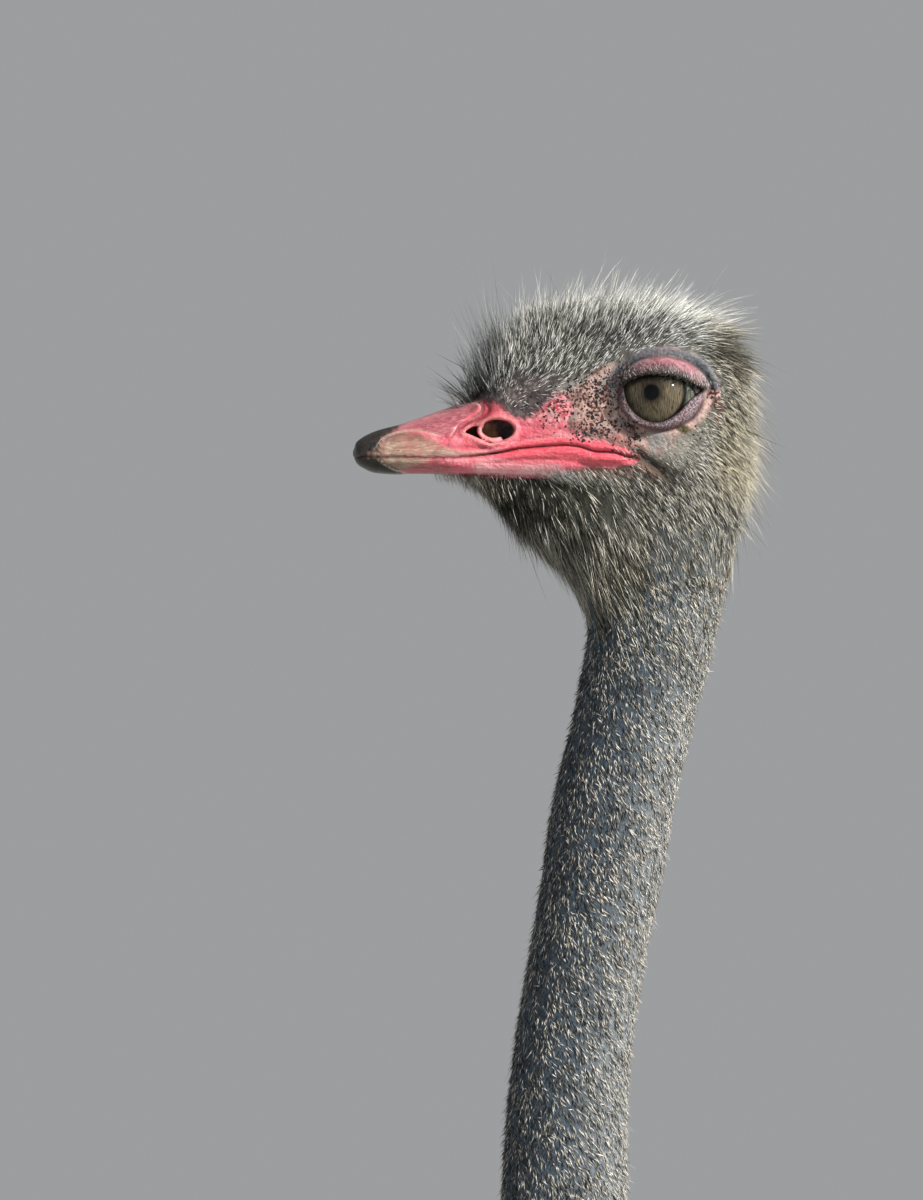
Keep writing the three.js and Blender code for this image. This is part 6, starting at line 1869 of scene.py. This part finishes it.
def plumes(path, up, reach, barbs, width, rng, spread=(52, 20), droop=0.25, shaft=1.6, curl=0.12, t0=0.06, lean=0.0, K=3):
    """Barbs on both sides of each shaft. path: N x S x 3 points along the shafts, up: N x 3, reach: N barb lengths."""
    N, S, _ = path.shape
    out = []
    per = barbs // 2
    tb = t0 + (1 - t0) * (np.arange(per) + 0.5) / per
    for sgn in (1, -1):
        t = np.clip(tb[None] + rng.uniform(-0.5, 0.5, (N, per)) / per, t0, 0.995)
        g = t * (S - 1)
        i = np.minimum(g.astype(int), S - 2)
        f = (g - i)[..., None]
        rows = np.arange(N)[:, None]
        P = path[rows, i] * (1 - f) + path[rows, i + 1] * f
        T = unit(path[rows, i + 1] - path[rows, i])
        Sd = unit(np.cross(T, up[:, None, :]))
        U = np.cross(Sd, T)
        ang = np.radians(spread[0] + (spread[1] - spread[0]) * t + rng.normal(0, 9, t.shape))
        tilt = (rng.normal(0, 0.30, t.shape) + np.reshape(lean, (-1, 1)))[..., None]
        D = T * np.cos(ang)[..., None] + (Sd * sgn + U * tilt) * np.sin(ang)[..., None]
        D = unit(D)
        prof = np.sin(np.clip(0.16 + 0.84 * t, 0, 1) * math.pi * 0.93) ** 0.6
        ln = reach[:, None] * (0.35 + 0.65 * prof) * rng.uniform(0.65, 1.15, t.shape)
        wd = width * rng.uniform(0.7, 1.25, t.shape)
        bend = T * 0.28 - U * curl + np.array([0, 0, -1.0]) * np.reshape(droop, (-1, 1, 1)) + rng.normal(0, 0.10, D.shape)
        own = np.repeat(np.arange(N)[:, None], per, 1)
        M = N * per
        upv = np.repeat(up[:, None], per, 1).reshape(M, 3)
        out.append((strands(P.reshape(M, 3), D.reshape(M, 3), upv, ln.ravel(), wd.ravel(), bend.reshape(M, 3), K, 0.25, [0.8 if K > 2 else 1.0] + [1.0] * (K - 2) + [0.0]), own.ravel(), t.ravel()))
    sh = tubes(path, np.linspace(1.0, 0.25, S)[None] * np.full((N, 1), shaft), up, 0.6)
    return out, sh


def body_uv(p):
    u = 0.5 + np.arctan2(p[:, 0], p[:, 2] - 1150) / (2 * math.pi) * 0.98
    v = 0.02 + 0.96 * (p[:, 1] + 560) / 1060
    return np.stack([u, v], 1)


on_body = (fc[:, 2] > 866) & (fc[:, 2] < 1470)
bf_ = Fc[on_body]


def body_density(p):
    z, yb = p[:, 2], p[:, 1] - BODY
    leg_gap = np.zeros(len(p))
    for side in (1, -1):
        lx, ly, rx, ry = leg_at(side, np.clip(z, 700, 1040))
        inside_leg = np.hypot((p[:, 0] - lx) / rx, (p[:, 1] - ly) / ry)
        leg_gap = np.maximum(leg_gap, (inside_leg < 1.25) * sstep(935, 915, z))
    return (1 - leg_gap) * sstep(0.75, 0.4, on_neck(p))


r = np.random.default_rng(31)
cp, cn_ = scatter(Vs, bf_, VN, body_density, 9000, r)
GAPB = 31.0
idx = spread_points(cp, cn_, GAPB, r)
# shorter plumes between them over the shoulders and the bend of the wing
fore = lambda q: body_density(q) * (q[:, 1] - BODY < -175) * (q[:, 2] > 1060)
ep, en_ = scatter(Vs, bf_, VN, fore, 2500, np.random.default_rng(33))
more = spread_points(ep, en_, 46.0, r)
bp, bn = np.concatenate([cp[idx], ep[more]]), np.concatenate([cn_[idx], en_[more]])
short = np.concatenate([np.ones(len(idx)), np.full(len(more), 0.62)])
print("body plumes", len(bp))
yb = bp[:, 1] - BODY
front = sstep(-330, -440, yb)
neckz = sstep(1240, 1340, bp[:, 2]) * sstep(-180, -260, yb)
rump = sstep(300, 450, yb)
d = np.stack([0 * yb, np.full(len(yb), 1.0), -0.42 - 0.5 * np.abs(bn[:, 0])], 1)
d += np.stack([np.zeros(len(yb)), -0.6 * neckz, -1.1 * neckz], 1)
d += r.normal(0, 0.16, d.shape)
d = tangent(d, bn)
lift = np.clip(r.normal(0.22, 0.05, len(yb)), 0.08, 0.5) * (1 - 0.3 * neckz)
over = np.clip(bn[:, 2], 0, 1)
lift -= 0.02 * over
lift *= 1 - 0.62 * sstep(215, 285, np.abs(bp[:, 0]))  # the flanks stay inside the folded wings' outline
blen = (150 - 72 * neckz - 25 * front + 14 * rump) * r.uniform(0.85, 1.12, len(yb))
lower = sstep(1010, 930, bp[:, 2])
blen *= (1 - 0.12 * lower) * short
S = 6
tt = np.linspace(0, 1, S)[None, :, None]
L_ = blen[:, None, None]
path = bp[:, None] + bn[:, None] * (3 * over - 3)[:, None, None] + L_ * (
    unit(d * np.sqrt(1 - lift**2)[:, None] + bn * lift[:, None])[:, None] * tt
    - bn[:, None] * (lift * 0.62)[:, None, None] * tt**2
    + np.array([0, 0, -1.0]) * ((0.10 + 0.05 * r.random(len(yb))) * (1 - 0.35 * over))[:, None, None] * tt**2
    + r.normal(0, 0.05, (len(yb), 1, 3)) * tt**2
)
path[:, :, 0] = np.clip(path[:, :, 0], -322, 322)
black = Mat("plumage_black")
n_ = black.noise(60, 4)
c1 = black.mix(black.ramp(n_, 0.3, 0.7), srgb(14, 13, 15), srgb(34, 31, 33))
c1 = black.mix(black.attr("tone"), c1, srgb(70, 62, 58))
c1 = black.mix(black.math("MULTIPLY", black.attr("t"), 0.35), c1, srgb(58, 52, 50))
black.set(Base_Color=c1, Roughness=black.ramp(n_, 0.3, 0.7, 0.5, 0.62), Specular_IOR_Level=0.45, Normal=black.bump(black.noise(900, 3), 0.0003, 0.4))
BARBS = 84
groups = {"left_front": (bp[:, 0] >= 0) & (yb < 0), "left_rear": (bp[:, 0] >= 0) & (yb >= 0), "right_front": (bp[:, 0] < 0) & (yb < 0), "right_rear": (bp[:, 0] < 0) & (yb >= 0)}
NODES = {"left_front": ("wing_left",), "right_front": ("wing_right",)}
for tag, sel in groups.items():
    rr = np.random.default_rng(40 + len(tag))
    built, sh = plumes(path[sel], bn[sel], blen[sel] * 0.40, BARBS, 2.3, rr, droop=0.25 * (1 - 0.5 * over[sel]), lean=0.04 * over[sel], curl=0.06, K=2)
    coat = Coat()
    uv = body_uv(bp[sel])
    tone0 = np.clip(rr.normal(0.12, 0.14, sel.sum()), 0, 0.6)
    for b, own, t in built:
        coat.add(b, uv[own], tone=np.clip(tone0[own] + rr.normal(0, 0.06, len(own)), 0, 1), warm=0 * t)
    coat.add(sh, uv, tone=tone0 * 0.5, warm=0 * tone0)
    coat.piece("plumage_" + tag, black, "black_plumage", *NODES.get(tag, ()))

# ---------------------------------------------------------------- white wing plumes and the tail
WING_PLUMES = [[268, 40, 1090, 190, 200, 22, 66, 30], [276, 110, 1110, 240, 270, 12, 80, 38], [270, 200, 1130, 250, 290, -6, 84, 40], [256, 290, 1150, 210, 250, -22, 76, 36]]
TAIL = [[0, 400, 1296, 390, 150, 0, 62, 92], [46, 395, 1284, 400, 250, 34, 62, 84], [70, 390, 1262, 370, 330, 44, 56, 70]]
lobe_half = curve([0, 0.25, 0.6, 0.88, 1], [0.42, 0.82, 1, 0.6, 0.12])


def lobe_plumes(rows, side, per, rng, inset, shrink, tail=False):
    """Shafts that fan out within each drooping lobe."""
    paths, ups, lens = [], [], []
    S = 9
    t = np.linspace(0, 1, S)
    for row in rows:
        x, y, z, reach, drop, out, wide, thick = row
        for k in range(per):
            a = (k + 0.5) / per * 2 - 1
            b = rng.uniform(-1, 1)
            end = 0.90 + 0.08 * rng.random() - 0.10 * abs(a)
            tt_ = t * end
            droop_ = drop * tt_**2
            base = np.stack([x + out * tt_, y + reach * np.sin(tt_ * 1.35) * 0.78, z - droop_], 1)
            tan = unit(np.gradient(base, axis=0))
            sx = unit(np.array([1.0, 0, 0]) - tan * tan[:, :1])
            up_ = np.cross(tan, sx)
            h = lobe_half(tt_) * (0.25 + 0.75 * np.minimum(t * 2.5, 1))
            if tail:
                p = base + sx * (thick * (1 - inset / thick) * a * h)[:, None] + up_ * (wide * (1 - inset / wide) * b * 0.8 * h)[:, None]
            else:
                p = base + sx * (thick * 0.35 * b * h)[:, None] + up_ * (wide * shrink * a * h)[:, None]
            paths.append(p)
            ups.append(unit((sx[4] * (0.9 if not tail else 0.2) + up_[4] * (0.1 if not tail else 1.0))[None])[0])
            lens.append(reach)
    P = np.array(paths)
    P[:, :, 1] += BODY
    U = np.array(ups)
    if side < 0:
        P[:, :, 0] *= -1
        U[:, 0] *= -1
    return P, U, np.array(lens)


white = coat_material("plume_white", (176, 170, 158), (240, 238, 230), (150, 132, 104), (226, 214, 190), 0.7, 0.2)
tailm = coat_material("plume_tail", (150, 136, 112), (228, 220, 202), (112, 84, 54), (198, 170, 130), 0.7, 0.2)
for side, tag in ((1, "left"), (-1, "right")):
    rr = np.random.default_rng(60 + side)
    P, U, ln = lobe_plumes(WING_PLUMES, side, 9, rr, 20, 0.62)
    built, sh = plumes(P, U, np.full(len(P), 58.0), 360, 1.9, rr, (64, 24), 0.35, 2.4, 0.0, 0.05, 0.0, 3)
    coat = Coat()
    uv = body_uv(P[:, 0])
    uv[:, 1] = 0.02 + 0.96 * rr.random(len(P))
    uv[:, 0] = (np.arange(len(P)) + 0.5) / len(P)
    for b, own, t in built:
        u2 = uv[own].copy()
        u2[:, 1] = 0.01 + 0.98 * t
        coat.add(b, u2, tone=np.clip(rr.normal(0.72, 0.16, len(own)), 0, 1), warm=np.clip(0.25 + 0.5 * (1 - t) * (own % 3 == 0) + rr.normal(0, 0.1, len(own)), 0, 1))
    coat.add(sh, uv, tone=np.full(len(P), 0.9), warm=np.full(len(P), 0.3))
    coat.piece("plumes_white_" + tag, white, "white_plume", "plumes_" + tag)

rr = np.random.default_rng(77)
both_sets = [lobe_plumes(TAIL[:1], 1, 8, rr, 46, 0.6, True)]
for side in (1, -1):
    both_sets.append(lobe_plumes(TAIL[1:], side, 8, rr, 46, 0.6, True))
P, U, ln = (np.concatenate(v) for v in zip(*both_sets))
built, sh = plumes(P, U, np.full(len(P), 68.0), 340, 2.1, rr, (66, 24), 0.30, 2.6, 0.05, 0.06, 0.0, 3)
coat = Coat()
uv = np.stack([(np.arange(len(P)) + 0.5) / len(P), np.full(len(P), 0.5)], 1)
for b, own, t in built:
    u2 = uv[own].copy()
    u2[:, 1] = 0.01 + 0.98 * t
    coat.add(b, u2, tone=np.clip(rr.normal(0.74, 0.18, len(own)), 0, 1), warm=np.clip(0.45 + 0.4 * (1 - t) + rr.normal(0, 0.14, len(own)), 0, 1))
coat.add(sh, uv, tone=np.full(len(P), 0.7), warm=np.full(len(P), 0.6))
coat.piece("plumes_tail", tailm, "tail_plume", "tail")

# ---------------------------------------------------------------- claws
claw_cols = columns(CLAW)
for side, tag in ((1, "left"), (-1, "right")):
    shift = -STAGGER if side > 0 else STAGGER
    fx, fy = 96.0, FOOT_Y - 14 + shift + BODY
    half, top, bot = claw_cols
    s = np.concatenate([np.linspace(139, 205, 34), np.linspace(206, 211, 6)])
    th = np.arange(28) / 28 * 2 * math.pi
    c, sn = np.cos(th)[None], np.sin(th)[None]
    hs, ts, bs = half(s)[:, None], top(s)[:, None], bot(s)[:, None]
    wide = bs + 0.35 * (ts - bs)
    n = np.where(sn >= 0, 2.1, 2.6)
    u = hs * np.sign(c) * np.abs(c) ** (2 / n) * 0.97
    zz_ = wide + np.where(sn >= 0, ts - wide, wide - bs) * np.sign(sn) * np.abs(sn) ** (2 / n) * 0.97
    # growth rings and a worn tip
    ripple = 0.16 * np.sin(s * 1.7)[:, None] * np.clip(sn, 0, 1)
    pts = np.stack([(side * (fx + 2.4 + u)), np.broadcast_to((fy - s)[:, None], u.shape), zz_ + ripple], -1)
    n0, n1 = len(s), len(th)
    idx = np.arange(n0 * n1).reshape(n0, n1)
    q = np.stack([idx[:-1], np.roll(idx[:-1], -1, 1), np.roll(idx[1:], -1, 1), idx[1:]], -1).reshape(-1, 4)
    v = pts.reshape(-1, 3)
    v = np.concatenate([v, pts[0].mean(0)[None], pts[-1].mean(0)[None]])
    caps = [np.stack([np.roll(idx[0], -1), idx[0], np.full(n1, len(v) - 2)], 1), np.stack([idx[-1], np.roll(idx[-1], -1), np.full(n1, len(v) - 1)], 1)]
    caps = np.concatenate(caps)
    if side < 0:
        q, caps = q[:, ::-1], caps[:, ::-1]
    q, caps = q[:, ::-1], caps[:, ::-1]
    ob = make_mesh("claw_horn_" + tag, v, [q, caps])
    M = Mat("claw_" + tag)
    st = M.noise(120, 4, 0.6, vec=M.mapping((1, 0.12, 1)))
    col = M.mix(M.ramp(st, 0.35, 0.68), srgb(46, 40, 36), srgb(112, 98, 84))
    M.set(Base_Color=col, Roughness=M.ramp(st, 0.3, 0.7, 0.38, 0.55), Normal=M.bump(M.noise(300, 3), 0.0006, 0.4))
    dress(ob, M, "claw_horn", "claw_" + tag)

# ---------------------------------------------------------------- floor and end
bpy.ops.mesh.primitive_circle_add(vertices=160, radius=27, fill_type="NGON", location=(0, 0, 0))
floor = bpy.context.object
floor.name = "floor"
M = Mat("floor")
M.set(Base_Color=M.mix(M.noise(90, 4), srgb(148, 149, 148), srgb(158, 158, 157)), Roughness=0.9, Specular_IOR_Level=0.2)
floor.data.materials.append(M.m)
